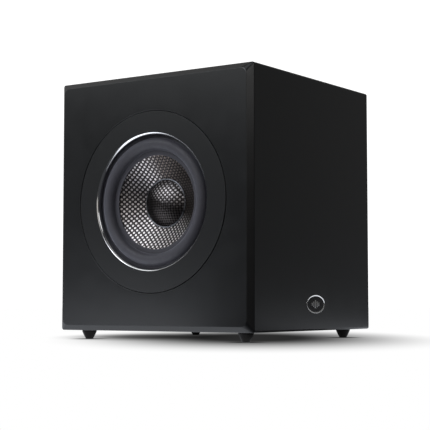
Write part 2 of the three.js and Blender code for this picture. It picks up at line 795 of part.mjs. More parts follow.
/** The closed dish of the radiator. */
function radiatorCone() {
  return unitTurned(RADIATOR_SIDE, [
    [0, DISH_DEPTH],
    [DISH_RADIUS, DISH_DEPTH],
    [CONE_RADIUS, CONE_DEPTH],
    [CONE_EDGE_RADIUS, CONE_EDGE_DEPTH],
    [CONE_EDGE_RADIUS, CONE_EDGE_DEPTH + CONE_THICKNESS],
    [CONE_RADIUS, CONE_DEPTH + CONE_THICKNESS],
    [DISH_RADIUS, DISH_DEPTH + CONE_THICKNESS],
    [0, DISH_DEPTH + CONE_THICKNESS],
  ]);
}

/** The tuning weight behind the dish: washers under a nut. */
function radiatorMass() {
  const front = DISH_DEPTH + CONE_THICKNESS + MASS_GAP;
  return unitTurned(RADIATOR_SIDE, [
    [0, front],
    [MASS_RADIUS, front],
    [MASS_RADIUS, front + MASS_THICKNESS],
    [MASS_NUT_RADIUS, front + MASS_THICKNESS],
    [MASS_NUT_RADIUS, front + MASS_THICKNESS + MASS_NUT_HEIGHT],
    [0, front + MASS_THICKNESS + MASS_NUT_HEIGHT],
  ], FINE);
}

// ---------------------------------------------------------------- amplifier

/** Y and Z of the six screws that hold the amplifier plate. */
function ampScrewSpots() {
  const y = AMP_WIDTH / 2 - AMP_SCREW_INSET;
  const z = AMP_HEIGHT / 2 - AMP_SCREW_INSET;
  return [-y, y].flatMap((spotY) => [-z, 0, z].map((spotZ) => [spotY, CENTRE_Z + spotZ]));
}

/** Y and Z of the four posts that carry the circuit board. */
function postSpots() {
  return [-POST_SPREAD, POST_SPREAD].flatMap((y) => [POST_LOW_Z, POST_HIGH_Z].map((z) => [y, z]));
}

/** The aluminium plate with its cut-outs and board posts. */
function ampPlate() {
  const outline = roundedRectangle(0, CENTRE_Z, AMP_WIDTH, AMP_HEIGHT, AMP_CORNER);
  const plate = slab(outline, AMP_OUT_X, AMP_THICKNESS, COARSE);
  const through = (y, z, radius) => barX(AMP_OUT_X - PAST, AMP_IN_X + PAST, y, z, radius);
  const slot = (y, z, [width, height]) => block(
    [AMP_OUT_X - PAST, y - width / 2, z - height / 2],
    [AMP_IN_X + PAST, y + width / 2, z + height / 2],
  );
  const [, shank] = AMP_SCREW;
  const openings = [
    ...[-KNOB_SPREAD, KNOB_SPREAD].map((y) => through(y, KNOB_Z, SHAFT_RADIUS + SHAFT_GAP)),
    ...[-KNOB_SPREAD, KNOB_SPREAD].map((y) => slot(y, SWITCH_Z, SLIDE_SLOT)),
    ...[-JACK_SPREAD, JACK_SPREAD].map((y) => through(y, JACK_Z, JACK_BARREL_RADIUS + HOLE_GAP)),
    through(0, LIGHT_Z, LIGHT_RADIUS + HOLE_GAP),
    slot(0, INLET_Z, INLET_BODY.map((side) => side + 2 * HOLE_GAP)),
    ...ampScrewSpots().map(([y, z]) => through(y, z, shank + HOLE_GAP)),
  ];
  const posts = postSpots().map(([y, z]) => barX(AMP_IN_X - PAST, BOARD_X - POST_GAP, y, z, POST_RADIUS, POST_SIDES));
  return join(cut(plate, ...openings), ...posts);
}

/** The circuit board with the bodies of the controls and a row of capacitors. */
function circuitBoard() {
  const base = block(
    [BOARD_X, -BOARD_WIDTH / 2, BOARD_LOW_Z],
    [BOARD_X + BOARD_THICKNESS, BOARD_WIDTH / 2, BOARD_HIGH_Z],
  );
  const part = (y, z, [width, height, depth]) => block(
    [BOARD_X - depth, y - width / 2, z - height / 2],
    [BOARD_X + BOARD_ROOT, y + width / 2, z + height / 2],
  );
  const [, , potDepth] = POT_BODY;
  const potBores = [-KNOB_SPREAD, KNOB_SPREAD].map(
    (y) => barX(BOARD_X - potDepth - PAST, BOARD_X - potDepth + POT_BORE, y, KNOB_Z, SHAFT_RADIUS + HOLE_GAP),
  );
  const parts = [
    ...[-KNOB_SPREAD, KNOB_SPREAD].map((y) => part(y, KNOB_Z, POT_BODY)),
    ...[-KNOB_SPREAD, KNOB_SPREAD].map((y) => part(y, SWITCH_Z, SWITCH_BODY)),
    part(0, CHIP_Z, CHIP_BODY),
  ];
  const back = BOARD_X + BOARD_THICKNESS;
  const capacitors = CAPACITOR_SPOTS.map(
    (y) => barX(back - BOARD_ROOT, back + CAPACITOR_LENGTH, y, CAPACITOR_Z, CAPACITOR_RADIUS),
  );
  return cut(join(base, ...parts, ...capacitors), ...potBores);
}

/** A control knob with a pointer notch and its shaft. */
function knob() {
  const face = KNOB_FOOT + KNOB_HEIGHT;
  const body = outward([
    [0, -SHAFT_LENGTH],
    [SHAFT_RADIUS, -SHAFT_LENGTH],
    [SHAFT_RADIUS, KNOB_FOOT],
    [KNOB_RADIUS, KNOB_FOOT],
    [KNOB_RADIUS - KNOB_TAPER, face],
    [0, face],
  ], FINE);
  const notch = block(
    [-face - PAST, -POINTER_WIDTH / 2, POINTER_START],
    [-face + POINTER_DEPTH, POINTER_WIDTH / 2, KNOB_RADIUS + PAST],
  );
  return cut(body, notch);
}

/** The lever of a slide switch. */
function slideLever() {
  const [width, height] = SLIDE_LEVER;
  return block([-LEVER_OUT, -width / 2, -height / 2], [AMP_THICKNESS + LEVER_IN, width / 2, height / 2]);
}

/** A phono socket with a hollow barrel and a rear pin. */
function inputJack() {
  const pinBack = -(AMP_THICKNESS + JACK_PIN_BACK);
  const bodyBack = -(AMP_THICKNESS + JACK_BODY_BACK);
  const [collarLow, collarHigh] = JACK_COLLAR;
  return outward([
    [0, pinBack],
    [JACK_PIN_RADIUS, pinBack],
    [JACK_PIN_RADIUS, bodyBack],
    [JACK_BARREL_RADIUS, bodyBack],
    [JACK_BARREL_RADIUS, collarLow],
    [JACK_COLLAR_RADIUS, collarLow],
    [JACK_COLLAR_RADIUS, collarHigh],
    [JACK_BARREL_RADIUS, collarHigh],
    [JACK_BARREL_RADIUS, JACK_BARREL_LENGTH],
    [JACK_BORE_RADIUS, JACK_BARREL_LENGTH],
    [JACK_BORE_RADIUS, -JACK_BORE_DEPTH],
    [0, -JACK_BORE_DEPTH],
  ], SMALL);
}

/** The status light, with a tapered tip. */
function statusLight() {
  return outward([
    [0, -LIGHT_LENGTH],
    [LIGHT_RADIUS, -LIGHT_LENGTH],
    [LIGHT_RADIUS, LIGHT_SHOULDER],
    [LIGHT_TIP_RADIUS, LIGHT_BROW],
    [0, LIGHT_TIP],
  ], SMALL);
}

/** A block of the mains inlet, centred on a given Y, between two X values. */
function inletBlock(y, [width, height], lowX, highX, z = INLET_Z) {
  return block([lowX, y - width / 2, z - height / 2], [highX, y + width / 2, z + height / 2]);
}

/** The outline of the mains socket: a rectangle with its two upper corners cut off. */
function socketOutline() {
  const corner = SOCKET_HALF_WIDTH - SOCKET_CORNER;
  const [low, high] = [INLET_Z - SOCKET_HALF_HEIGHT, INLET_Z + SOCKET_HALF_HEIGHT];
  const shape = new THREE.Shape();
  shape.moveTo(SOCKET_Y - SOCKET_HALF_WIDTH, low);
  shape.lineTo(SOCKET_Y + SOCKET_HALF_WIDTH, low);
  shape.lineTo(SOCKET_Y + SOCKET_HALF_WIDTH, high - SOCKET_CORNER);
  shape.lineTo(SOCKET_Y + corner, high);
  shape.lineTo(SOCKET_Y - corner, high);
  shape.lineTo(SOCKET_Y - SOCKET_HALF_WIDTH, high - SOCKET_CORNER);
  shape.closePath();
  return shape;
}

/** The mains inlet with its blades, in one housing with the pocket of the power switch. */
function powerInlet() {
  const flange = inletBlock(0, INLET_FLANGE, AMP_OUT_X - FLANGE_OUT, AMP_OUT_X - FLANGE_GAP);
  const body = inletBlock(0, INLET_BODY, AMP_OUT_X - FLANGE_OUT / 2, AMP_IN_X + INLET_DEPTH);
  const mouth = AMP_OUT_X - FLANGE_OUT - PAST;
  const hollow = slab(socketOutline(), mouth, AMP_THICKNESS + INLET_DEPTH - SOCKET_BACK);
  const pocket = inletBlock(ROCKER_Y, POCKET_SIZE, mouth, AMP_IN_X + POCKET_DEPTH);
  const pinReach = ROCKER_PIN_HALF_LENGTH + PIN_END_GAP;
  const pinHole = barY(
    ROCKER_Y - pinReach,
    ROCKER_Y + pinReach,
    ROCKER_PIVOT_X,
    INLET_Z,
    ROCKER_PIN_RADIUS + PIN_GAP,
  );
  const blades = BLADE_SPOTS.map(([y, z]) => inletBlock(
    SOCKET_Y + y,
    BLADE_SIZE,
    AMP_OUT_X + BLADE_SETBACK,
    AMP_IN_X + INLET_DEPTH - BLADE_END,
    INLET_Z + z,
  ));
  return join(cut(join(flange, body), hollow, pocket, pinHole), ...blades);
}

/** The rocker of the power switch, upright about its own pivot. */
function powerRocker() {
  const lift = ROCKER_HALF_LENGTH * Math.tan(ROCKER_TILT);
  const lowEnd = ROCKER_HALF_LENGTH - ROCKER_TAPER;
  const outline = new THREE.Shape();
  outline.moveTo(0, ROCKER_WAIST);
  outline.lineTo(-ROCKER_HALF_LENGTH, ROCKER_WAIST + lift);
  outline.lineTo(-lowEnd, -ROCKER_SIDE);
  outline.lineTo(0, -ROCKER_BELLY);
  outline.lineTo(lowEnd, -ROCKER_SIDE);
  outline.lineTo(ROCKER_HALF_LENGTH, ROCKER_WAIST + lift);
  outline.closePath();
  const body = new THREE.ExtrudeGeometry(outline, { depth: ROCKER_WIDTH, bevelEnabled: false });
  body.translate(0, 0, -ROCKER_WIDTH / 2);
  body.applyMatrix4(new THREE.Matrix4().makeBasis(
    new THREE.Vector3(0, 0, 1),
    new THREE.Vector3(-1, 0, 0),
    new THREE.Vector3(0, -1, 0),
  ));
  return join(body, barY(-ROCKER_PIN_HALF_LENGTH, ROCKER_PIN_HALF_LENGTH, 0, 0, ROCKER_PIN_RADIUS));
}

/** The toroidal transformer, a rounded ring standing on the cabinet floor. */
function transformer() {
  const [round, high] = [TRANSFORMER_ROUND, TRANSFORMER_HEIGHT];
  return upright([
    [TRANSFORMER_BORE, round],
    [TRANSFORMER_BORE + round, 0],
    [TRANSFORMER_RADIUS - round, 0],
    [TRANSFORMER_RADIUS, round],
    [TRANSFORMER_RADIUS, high - round],
    [TRANSFORMER_RADIUS - round, high],
    [TRANSFORMER_BORE + round, high],
    [TRANSFORMER_BORE, high - round],
  ], FINE);
}

/** The cable from the circuit board to the driver terminal. */
function speakerCable() {
  return cable(CABLE_SPOTS, CABLE_RADIUS, CABLE_STEPS);
}

/** A pan-head screw along +Y: its head stands on the plane y = 0, in front of it. */
function screw([headRadius, shankRadius, length]) {
  return turned([
    [0, -SCREW_HEAD + DRIVE_DEPTH],
    [shankRadius * 0.7, -SCREW_HEAD],
    [headRadius * 0.8, -SCREW_HEAD],
    [headRadius, 0],
    [shankRadius, 0],
    [shankRadius, length - SCREW_TIP],
    [0, length],
  ], TINY);
}

// ---------------------------------------------------------------- assembly

/** A named piece placed in its group. */
function piece(name, geometry, look, position = [0, 0, 0]) {
  const mesh = new THREE.Mesh(geometry, look);
  mesh.name = name;
  mesh.position.set(...position);
  return mesh;
}

function cabinet() {
  const group = new THREE.Group();
  group.add(
    piece('driver_baffle', baffle(DRIVER_SIDE), lacquer),
    piece('radiator_baffle', baffle(RADIATOR_SIDE), lacquer),
    piece('badge_panel', badgePanel(), lacquer),
    piece('rear_panel', rearPanel(), lacquer),
    piece('top_panel', board(ROOF_Z - WALL_THICKNESS), lacquer),
    piece('bottom_panel', board(FLOOR_Z), lacquer),
    piece('window_brace', windowBrace(), fibreboard),
    piece('badge_rim', badgeRim(), polished),
    piece('badge_disc', badgeDisc(), plasticBlack),
  );
  const spots = { front_left: [1, -1], front_right: [1, 1], rear_left: [-1, -1], rear_right: [-1, 1] };
  Object.entries(spots).forEach(([name, [signX, signY]]) => {
    const place = [signX * (HALF_X - FOOT_INSET_X), signY * (HALF_Y - FOOT_INSET_Y), 0];
    group.add(piece(`foot_${name}`, foot(), rubberBlack, place));
  });
  return group;
}

/** Four screws through a frame flange, on the given side. */
function frameScrews(side, name) {
  const group = new THREE.Group();
  const y = side * (HALF_Y - FLANGE_FRONT);
  screwSpots().forEach(([x, z], index) => {
    const mesh = piece(`${name}_screw_${index + 1}`, screw(FRAME_SCREW), screwBlack, [x, y, z]);
    mesh.rotation.x = side < 0 ? 0 : Math.PI;
    group.add(mesh);
  });
  return group;
}

function driver() {
  const group = new THREE.Group();
  group.position.z = CENTRE_Z;
  group.add(
    piece('driver_trim_ring', trimRing(DRIVER_SIDE), trimBlack),
    piece('driver_bezel', bezelRing(DRIVER_SIDE), polished),
    piece('driver_surround', surround(DRIVER_SIDE), rubberGrey),
    piece('driver_basket', driverBasket(), castAlloy),
    piece('driver_cone', driverCone(), wovenGlass),
    piece('dust_cap', dustCap(), wovenGlass),
    piece('coil_former', ring(FORMER_INNER, FORMER_OUTER, FORMER_TOP, COIL_BOTTOM), kapton),
    piece('voice_coil', ring(FORMER_OUTER, COIL_OUTER, COIL_TOP, COIL_BOTTOM), copper),
    piece('spider', spider(), cloth),
    piece('top_plate', ring(PLATE_INNER, PLATE_RADIUS, PLATE_FRONT, PLATE_BACK), steel),
    piece('magnet', ring(MAGNET_INNER, MAGNET_RADIUS, PLATE_BACK, MAGNET_BACK), ferrite),
    piece('yoke', yoke(), steel),
    piece('driver_terminal', driverTerminal(), plasticBlack),
    piece('tinsel_lead', tinselLead(), copper),
  );
  return group;
}

function radiator() {
  const group = new THREE.Group();
  group.position.z = CENTRE_Z;
  group.add(
    piece('radiator_trim_ring', trimRing(RADIATOR_SIDE), trimBlack),
    piece('radiator_bezel', bezelRing(RADIATOR_SIDE), polished),
    piece('radiator_surround', surround(RADIATOR_SIDE), rubberGrey),
    piece('radiator_frame', radiatorFrame(), castAlloy),
    piece('radiator_cone', radiatorCone(), wovenGlass),
    piece('radiator_mass', radiatorMass(), steel),
  );
  return group;
}

function amplifier() {
  const group = new THREE.Group();
  const rocker = piece('power_rocker', powerRocker(), plasticBlack, [ROCKER_PIVOT_X, ROCKER_Y, INLET_Z]);
  rocker.rotation.y = -ROCKER_TILT;
  group.add(
    piece('amp_plate', ampPlate(), panelBlack),
    piece('circuit_board', circuitBoard(), boardGreen),
    piece('transformer', transformer(), windingTape, [...TRANSFORMER_SPOT, FLOOR_Z + WALL_THICKNESS]),
    piece('power_inlet', powerInlet(), plasticBlack),
    rocker,
    piece('level_knob', knob(), plasticBlack, [AMP_OUT_X, -KNOB_SPREAD, KNOB_Z]),
    piece('crossover_knob', knob(), plasticBlack, [AMP_OUT_X, KNOB_SPREAD, KNOB_Z]),
    piece('phase_switch', slideLever(), plasticBlack, [AMP_OUT_X, -KNOB_SPREAD, SWITCH_Z - PHASE_TRAVEL / 2]),
    piece('mode_switch', slideLever(), plasticBlack, [AMP_OUT_X, KNOB_SPREAD, SWITCH_Z]),
    piece('input_jack_left', inputJack(), nickel, [AMP_OUT_X, -JACK_SPREAD, JACK_Z]),
    piece('input_jack_right', inputJack(), nickel, [AMP_OUT_X, JACK_SPREAD, JACK_Z]),
    piece('status_light', statusLight(), lightBlue, [AMP_OUT_X, 0, LIGHT_Z]),
    piece('speaker_cable', speakerCable(), rubberBlack),
  );
  ampScrewSpots().forEach(([y, z], index) => {
    const mesh = piece(`amp_screw_${index + 1}`, screw(AMP_SCREW), screwBlack, [AMP_OUT_X, y, z]);
    mesh.rotation.z = -Math.PI / 2;
    group.add(mesh);
  });
  return group;
}

const subwoofer = new THREE.Group();
subwoofer.add(
  cabinet(),
  driver(),
  frameScrews(DRIVER_SIDE, 'driver'),
  radiator(),
  frameScrews(RADIATOR_SIDE, 'radiator'),
  amplifier(),
);

export default subwoofer;
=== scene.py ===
"""Looks of a compact powered subwoofer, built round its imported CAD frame.

Lengths in this file are millimetres until a mesh is written, which is done in metres. The driver
fires along -Y, the passive radiator along +Y, the badge faces +X, the amplifier panel faces -X.
"""

import math

import bmesh
import bpy
import numpy as np
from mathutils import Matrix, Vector


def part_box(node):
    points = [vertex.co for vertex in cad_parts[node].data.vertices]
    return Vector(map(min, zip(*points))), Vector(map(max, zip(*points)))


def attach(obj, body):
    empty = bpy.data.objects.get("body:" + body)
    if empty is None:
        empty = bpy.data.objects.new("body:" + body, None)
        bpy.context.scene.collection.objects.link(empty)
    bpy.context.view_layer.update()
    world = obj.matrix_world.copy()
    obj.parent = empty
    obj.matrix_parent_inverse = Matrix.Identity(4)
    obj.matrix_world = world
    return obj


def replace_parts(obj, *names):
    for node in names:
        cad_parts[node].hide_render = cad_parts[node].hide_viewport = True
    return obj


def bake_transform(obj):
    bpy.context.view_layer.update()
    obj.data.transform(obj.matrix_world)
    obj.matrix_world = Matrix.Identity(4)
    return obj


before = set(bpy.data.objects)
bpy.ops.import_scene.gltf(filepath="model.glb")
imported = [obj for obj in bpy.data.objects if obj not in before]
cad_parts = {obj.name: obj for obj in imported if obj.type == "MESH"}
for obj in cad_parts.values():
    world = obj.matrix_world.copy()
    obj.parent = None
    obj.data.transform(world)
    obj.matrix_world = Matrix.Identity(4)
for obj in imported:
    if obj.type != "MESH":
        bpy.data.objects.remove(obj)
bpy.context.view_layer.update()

MM = 0.001
DRIVER_SIDE = -1
RADIATOR_SIDE = 1
CABINET = "cabinet"
DRIVER_BODY = "driver_diaphragm"
RADIATOR_BODY = "radiator_diaphragm"


# ---------------------------------------------------------------- sizes, read from the frame

def box_mm(node):
    """Lowest and highest corners of a CAD node, in millimetres."""
    low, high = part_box(node)
    return [value / MM for value in low], [value / MM for value in high]


def radius_of(node):
    """Radius of a round node centred on x = 0."""
    return box_mm(node)[1][0]


def depths_of(node):
    """How far behind its cabinet face a node of a round unit begins and ends."""
    low, high = box_mm(node)
    if low[1] < 0:
        return HALF_Y + low[1], HALF_Y + high[1]
    return HALF_Y - high[1], HALF_Y - low[1]


def middle_of(node):
    """Middle of a CAD node, in millimetres."""
    low, high = box_mm(node)
    return [(a + b) / 2 for a, b in zip(low, high)]


baffle_low, baffle_high = box_mm("driver_baffle")
HALF_X = baffle_high[0]
HALF_Y = -baffle_low[1]
FLOOR_Z = baffle_low[2]
ROOF_Z = baffle_high[2]
HALF_HEIGHT = (ROOF_Z - FLOOR_Z) / 2
CENTRE_Z = (ROOF_Z + FLOOR_Z) / 2
BAFFLE_THICKNESS = baffle_high[1] - baffle_low[1]
INNER_Y = HALF_Y - BAFFLE_THICKNESS

TRIM_RADIUS = radius_of("driver_trim_ring")
TRIM_THICKNESS = depths_of("driver_trim_ring")[1]
BEZEL_RADIUS = radius_of("driver_bezel")
BEZEL_NOSE = 2.8
BEZEL_LEAN = 27
FRAME_RADIUS = 108.5
FRAME_FRONT = depths_of("driver_basket")[0]
FRAME_BACK = 13.5
FRAME_STEP = 97.6
FRAME_FIT = 0.5
FRAME_WALL = 94.5
LEDGE_RADIUS = 88.5
LEDGE_DEPTH = 10.7
THROAT = 98.5
SCREW_CIRCLE = 103.0

CHAMFER = 7.5
EDGE_ROUND = 1.3
CORNER_ROUND = 3.0
CORNER_GROWTH = 0.8
GROOVE = 0.85
GROOVE_ROUND = 0.8
FLAT_BAND = 8.0
SEAT_GAP = 0.2
LEDGE_GAP = 0.1

SURROUND_RADIUS = radius_of("driver_surround")
ROLL_RADIUS = 80.2
ROLL_HALF_WIDTH = 8.5
ROLL_CROWN = depths_of("driver_surround")[0]
RUBBER = 1.2
LIP_RADIUS = 65.0
CONE_EDGE = radius_of("driver_cone")
CONE_EDGE_DEPTH = depths_of("driver_cone")[0]
CONE_DEPTH = CONE_EDGE_DEPTH + 0.6
CONE_RIM = CONE_EDGE - 0.3
CONE_THICKNESS = 1.3
NECK_RADIUS = 27.3
NECK_DEPTH = depths_of("driver_cone")[1] - CONE_THICKNESS
CAP_RADIUS = radius_of("dust_cap")
CAP_APEX, CAP_BASE = depths_of("dust_cap")
DISH_RADIUS = 34.0
DISH_DEPTH = 31.0
TOW = 3.4

AMP_LOW, AMP_HIGH = box_mm("amp_plate")
AMP_OUT_X = AMP_LOW[0]
AMP_PLATE_THICKNESS = 3.0
AMP_IN_X = AMP_OUT_X + AMP_PLATE_THICKNESS

ROUND = 192
SHARP = 32.0
MERGE = 1e-7


# ---------------------------------------------------------------- material nodes

class Tree:
    """A thin layer over the node tree of a material or a world."""

    def __init__(self, owner, output, place):
        owner.use_nodes = True
        self.tree = owner.node_tree
        self.tree.nodes.clear()
        self.output = self.tree.nodes.new(output)
        self.place = self.node("ShaderNodeTexCoord").outputs[place]

    def node(self, kind, inputs=None, **settings):
        made = self.tree.nodes.new(kind)
        for key, value in settings.items():
            setattr(made, key, value)
        for key, value in (inputs or {}).items():
            self.feed(made.inputs[key], value)
        return made

    def feed(self, socket, value):
        if isinstance(value, bpy.types.NodeSocket):
            self.tree.links.new(value, socket)
        elif socket.type == "RGBA" and len(value) == 3:
            socket.default_value = (*value, 1.0)
        else:
            socket.default_value = value

    def math(self, operation, *values):
        return self.node("ShaderNodeMath", dict(enumerate(values)), operation=operation).outputs[0]

    def vector(self, operation, *values):
        made = self.node("ShaderNodeVectorMath", dict(enumerate(values)), operation=operation)
        return made.outputs["Value" if operation in ("DOT_PRODUCT", "LENGTH") else "Vector"]

    def axes(self):
        """The place's own X, Y and Z."""
        return self.node("ShaderNodeSeparateXYZ", {"Vector": self.place}).outputs

    def noise(self, per_metre, detail=3.0, stretch=(1.0, 1.0, 1.0), roughness=0.5):
        """Cloudy values from 0 to 1; stretch scales the pattern along each axis."""
        place = self.vector("MULTIPLY", self.place, stretch)
        inputs = {"Vector": place, "Scale": per_metre, "Detail": detail, "Roughness": roughness}
        return self.node("ShaderNodeTexNoise", inputs).outputs["Fac"]

    def remap(self, value, low, high, to_low=0.0, to_high=1.0):
        """A smooth step from one value to another, between two limits."""
        inputs = {"Value": value, "From Min": low, "From Max": high, "To Min": to_low, "To Max": to_high}
        return self.node("ShaderNodeMapRange", inputs, interpolation_type="SMOOTHSTEP").outputs["Result"]

    def vary(self, low, high, per_metre, detail=3.0):
        """Values that drift in clouds between two limits."""
        return self.remap(self.noise(per_metre, detail), 0.3, 0.7, low, high)

    def waves(self, run, pitch_mm):
        """A sine along a length, with a given pitch."""
        return self.math("SINE", self.math("MULTIPLY", run, 2 * math.pi / (pitch_mm * MM)))

    def mix(self, share, first, second):
        inputs = {"Fac": share, "Color1": first, "Color2": second}
        return self.node("ShaderNodeMixRGB", inputs).outputs["Color"]

    def show(self, shader):
        self.feed(self.output.inputs["Surface"], shader)

    def show_camera(self, is_camera, seen, lighting):
        """Shows one shader to the camera and another to every other ray."""
        self.show(self.node("ShaderNodeMixShader", {0: is_camera, 1: lighting, 2: seen}).outputs[0])


class Look(Tree):
    """One procedural material."""

    def __init__(self, name):
        self.material = bpy.data.materials.new(name)
        super().__init__(self.material, "ShaderNodeOutputMaterial", "Object")

    def from_axis(self):
        """Offset from the common axis of both round units, without its part along Y."""
        offset = self.vector("SUBTRACT", self.place, (0.0, 0.0, CENTRE_Z * MM))
        return self.vector("MULTIPLY", offset, (1.0, 0.0, 1.0))

    def bump(self, height, depth_mm, normal=None):
        inputs = {"Height": height, "Distance": depth_mm * MM, "Strength": 1.0}
        if normal is not None:
            inputs["Normal"] = normal
        return self.node("ShaderNodeBump", inputs).outputs["Normal"]

    def edges(self, radius_mm):
        """Near 1 on convex or concave edges, 0 on flat ground."""
        softened = self.node("ShaderNodeBevel", {"Radius": radius_mm * MM}, samples=4).outputs["Normal"]
        normal = self.node("ShaderNodeNewGeometry").outputs["Normal"]
        return self.remap(self.vector("DOT_PRODUCT", softened, normal), 0.995, 0.86)

    def surface(self, **inputs):
        """The principled surface; underscores in names stand for spaces."""
        named = {key.replace("_", " "): value for key, value in inputs.items()}
        self.show(self.node("ShaderNodeBsdfPrincipled", named).outputs["BSDF"])
        return self.material


def lacquer():
    """Satin black lacquer: a fine orange peel, faint clouds and slightly polished edges."""
    look = Look("lacquer")
    clouds = look.noise(9.0, 4.0)
    colour = look.mix(clouds, (0.0026, 0.0029, 0.0034), (0.0036, 0.0040, 0.0046))
    edge = look.math("MULTIPLY", look.edges(1.0), look.noise(60.0, 4.0))
    colour = look.mix(look.math("MULTIPLY", edge, 0.35), colour, (0.030, 0.032, 0.035))
    satin = look.vary(0.29, 0.33, 38.0, 5.0)
    peel = look.bump(look.noise(1500.0, 2.0), 0.012)
    dust = look.bump(look.noise(5200.0, 1.0), 0.003, peel)
    return look.surface(Base_Color=colour, Roughness=satin, Normal=dust, IOR=1.5)


def powder(name, dark, light, rough, grain_mm=0.03, metal=0.0):
    """A fine-grained matt coat."""
    look = Look(name)
    colour = look.mix(look.noise(40.0, 4.0), dark, light)
    edge = look.math("MULTIPLY", look.edges(0.5), look.noise(90.0, 3.0))
    colour = look.mix(look.math("MULTIPLY", edge, 0.3), colour, tuple(min(1.0, 3 * v) for v in light))
    roughness = look.vary(rough - 0.05, rough + 0.06, 400.0)
    grain = look.bump(look.noise(2600.0, 2.0), grain_mm)
    return look.surface(Base_Color=colour, Roughness=roughness, Metallic=metal, Normal=grain)


def metal(name, colour, rough, turning_mm=0.0, tint=0.75):
    """Bare metal with light handling marks and, if asked, fine concentric turning marks about Y."""
    look = Look(name)
    smudge = look.noise(70.0, 5.0)
    shade = look.mix(look.remap(smudge, 0.35, 0.7), colour, tuple(tint * v for v in colour))
    roughness = look.vary(rough * 0.8, rough * 1.3, 240.0, 4.0)
    normal = look.bump(look.noise(900.0, 3.0), 0.004)
    if turning_mm:
        rings = look.waves(look.vector("LENGTH", look.from_axis()), 0.5)
        normal = look.bump(rings, turning_mm, normal)
    return look.surface(Base_Color=shade, Roughness=roughness, Metallic=1.0, Normal=normal)


def rubber(name, dark, light, rough, sheen=0.25, shine=0.5):
    """Moulded rubber with a dry, slightly dusty skin."""
    look = Look(name)
    colour = look.mix(look.noise(55.0, 5.0), dark, light)
    dust = look.remap(look.noise(700.0, 4.0), 0.55, 0.8, 0.0, 0.35)
    colour = look.mix(dust, colour, tuple(1.7 * v for v in light))
    roughness = look.vary(rough - 0.06, rough + 0.06, 180.0, 4.0)
    normal = look.bump(look.noise(1900.0, 3.0), 0.012)
    return look.surface(
        Base_Color=colour, Roughness=roughness, Normal=normal,
        Sheen_Weight=sheen, Sheen_Roughness=0.5, Sheen_Tint=(0.75, 0.78, 0.9), Specular_IOR_Level=shine,
    )


def plastic(name, dark, light, rough, grain_mm=0.01):
    """Moulded plastic with a light spark-eroded grain."""
    look = Look(name)
    colour = look.mix(look.noise(30.0, 4.0), dark, light)
    roughness = look.vary(rough - 0.06, rough + 0.08, 300.0, 4.0)
    normal = look.bump(look.noise(3200.0, 2.0), grain_mm)
    return look.surface(Base_Color=colour, Roughness=roughness, Normal=normal)


def woven(name, glass_low, glass_high, shade, lit_side, lit_from, lit_to):
    """Plain weave under resin: tows along X over and under tows along Z, each with its own sheen.
    The upright tows are painted bright and the level tows painted dark, as lit and unlit copies of one fibre;
    the bright tows carry a painted sheen, fully bright on one side of the unit and fading to a painted
    smoky-brown shade on the other."""
    look = Look(name)
    axes = look.axes()
    across = look.math("MULTIPLY", axes["X"], math.pi / (TOW * MM))
    height = look.math("SUBTRACT", axes["Z"], CENTRE_Z * MM)
    along = look.math("MULTIPLY", height, math.pi / (TOW * MM))
    product = look.math("MULTIPLY", look.math("COSINE", across), look.math("COSINE", along))
    level_on_top = look.remap(product, -0.04, 0.04)
    level_fibres = look.noise(1000.0, 2.0, (0.12, 2.5, 2.5))
    upright_fibres = look.noise(1000.0, 2.0, (2.5, 2.5, 0.12))
    fibres = look.mix(level_on_top, upright_fibres, level_fibres)
    # Painted sheen: how far a point lies toward lit_side sets how bright its upright tows are, down to the
    # painted shade colour.
    side = look.vector("DOT_PRODUCT", look.vector("NORMALIZE", look.from_axis()), lit_side)
    painted_sheen = look.remap(side, lit_from, lit_to)
    glass = look.mix(painted_sheen, shade, look.mix(fibres, glass_low, glass_high))
    # Painted shade: the level tows stay dark everywhere, as the set that catches no light.
    dark = look.mix(fibres, (0.010, 0.009, 0.009), (0.10, 0.09, 0.09))
    colour = look.mix(level_on_top, glass, dark)
    gaps = look.remap(look.math("ABSOLUTE", product), 0.45, 0.08)
    colour = look.mix(gaps, colour, (0.004, 0.0035, 0.0035))
    across_tow = look.mix(level_on_top, (1.0, 0.0, 0.0), (0.0, 0.0, 1.0))
    return look.surface(
        Base_Color=colour, Roughness=0.38, Metallic=1.0, Anisotropic=0.6, Tangent=across_tow,
        Normal=look.bump(fibres, 0.02),
    )


def spider_cloth():
    """Resin-dipped open cloth."""
    look = Look("spider_cloth")
    colour = look.mix(look.noise(80.0, 4.0), (0.42, 0.27, 0.10), (0.58, 0.40, 0.17))
    axes = look.axes()
    weave = look.math("MULTIPLY", look.waves(axes["X"], 0.9), look.waves(axes["Z"], 0.9))
    colour = look.mix(look.remap(weave, -0.2, 0.6, 0.0, 0.5), colour, (0.20, 0.12, 0.04))
    return look.surface(Base_Color=colour, Roughness=0.8, Normal=look.bump(weave, 0.12), Sheen_Weight=0.3)


def winding(name, bright, dark, pitch_mm, axis, rough, metallic):
    """Wire or tape wound in even turns along an axis, with painted shade in the groove between turns."""
    look = Look(name)
    turns = look.waves(look.axes()[axis], pitch_mm)
    # Painted shade: darker where the turns dip into the groove between them.
    colour = look.mix(look.remap(turns, -0.9, 0.2), dark, bright)
    colour = look.mix(look.remap(look.noise(120.0, 4.0), 0.4, 0.8, 0.0, 0.4), colour, dark)
    roughness = look.vary(rough - 0.05, rough + 0.1, 300.0)
    normal = look.bump(turns, pitch_mm * 0.25)
    return look.surface(Base_Color=colour, Roughness=roughness, Metallic=metallic, Normal=normal)


def fibreboard():
    """Sawn medium-density fibreboard."""
    look = Look("fibreboard")
    fibres = look.noise(500.0, 6.0, (1.0, 3.0, 1.0), 0.7)
    colour = look.mix(fibres, (0.20, 0.125, 0.065), (0.42, 0.29, 0.17))
    flecks = look.remap(look.noise(2200.0, 2.0), 0.62, 0.75, 0.0, 0.6)
    colour = look.mix(flecks, colour, (0.10, 0.055, 0.03))
    return look.surface(Base_Color=colour, Roughness=0.88, Normal=look.bump(fibres, 0.15))


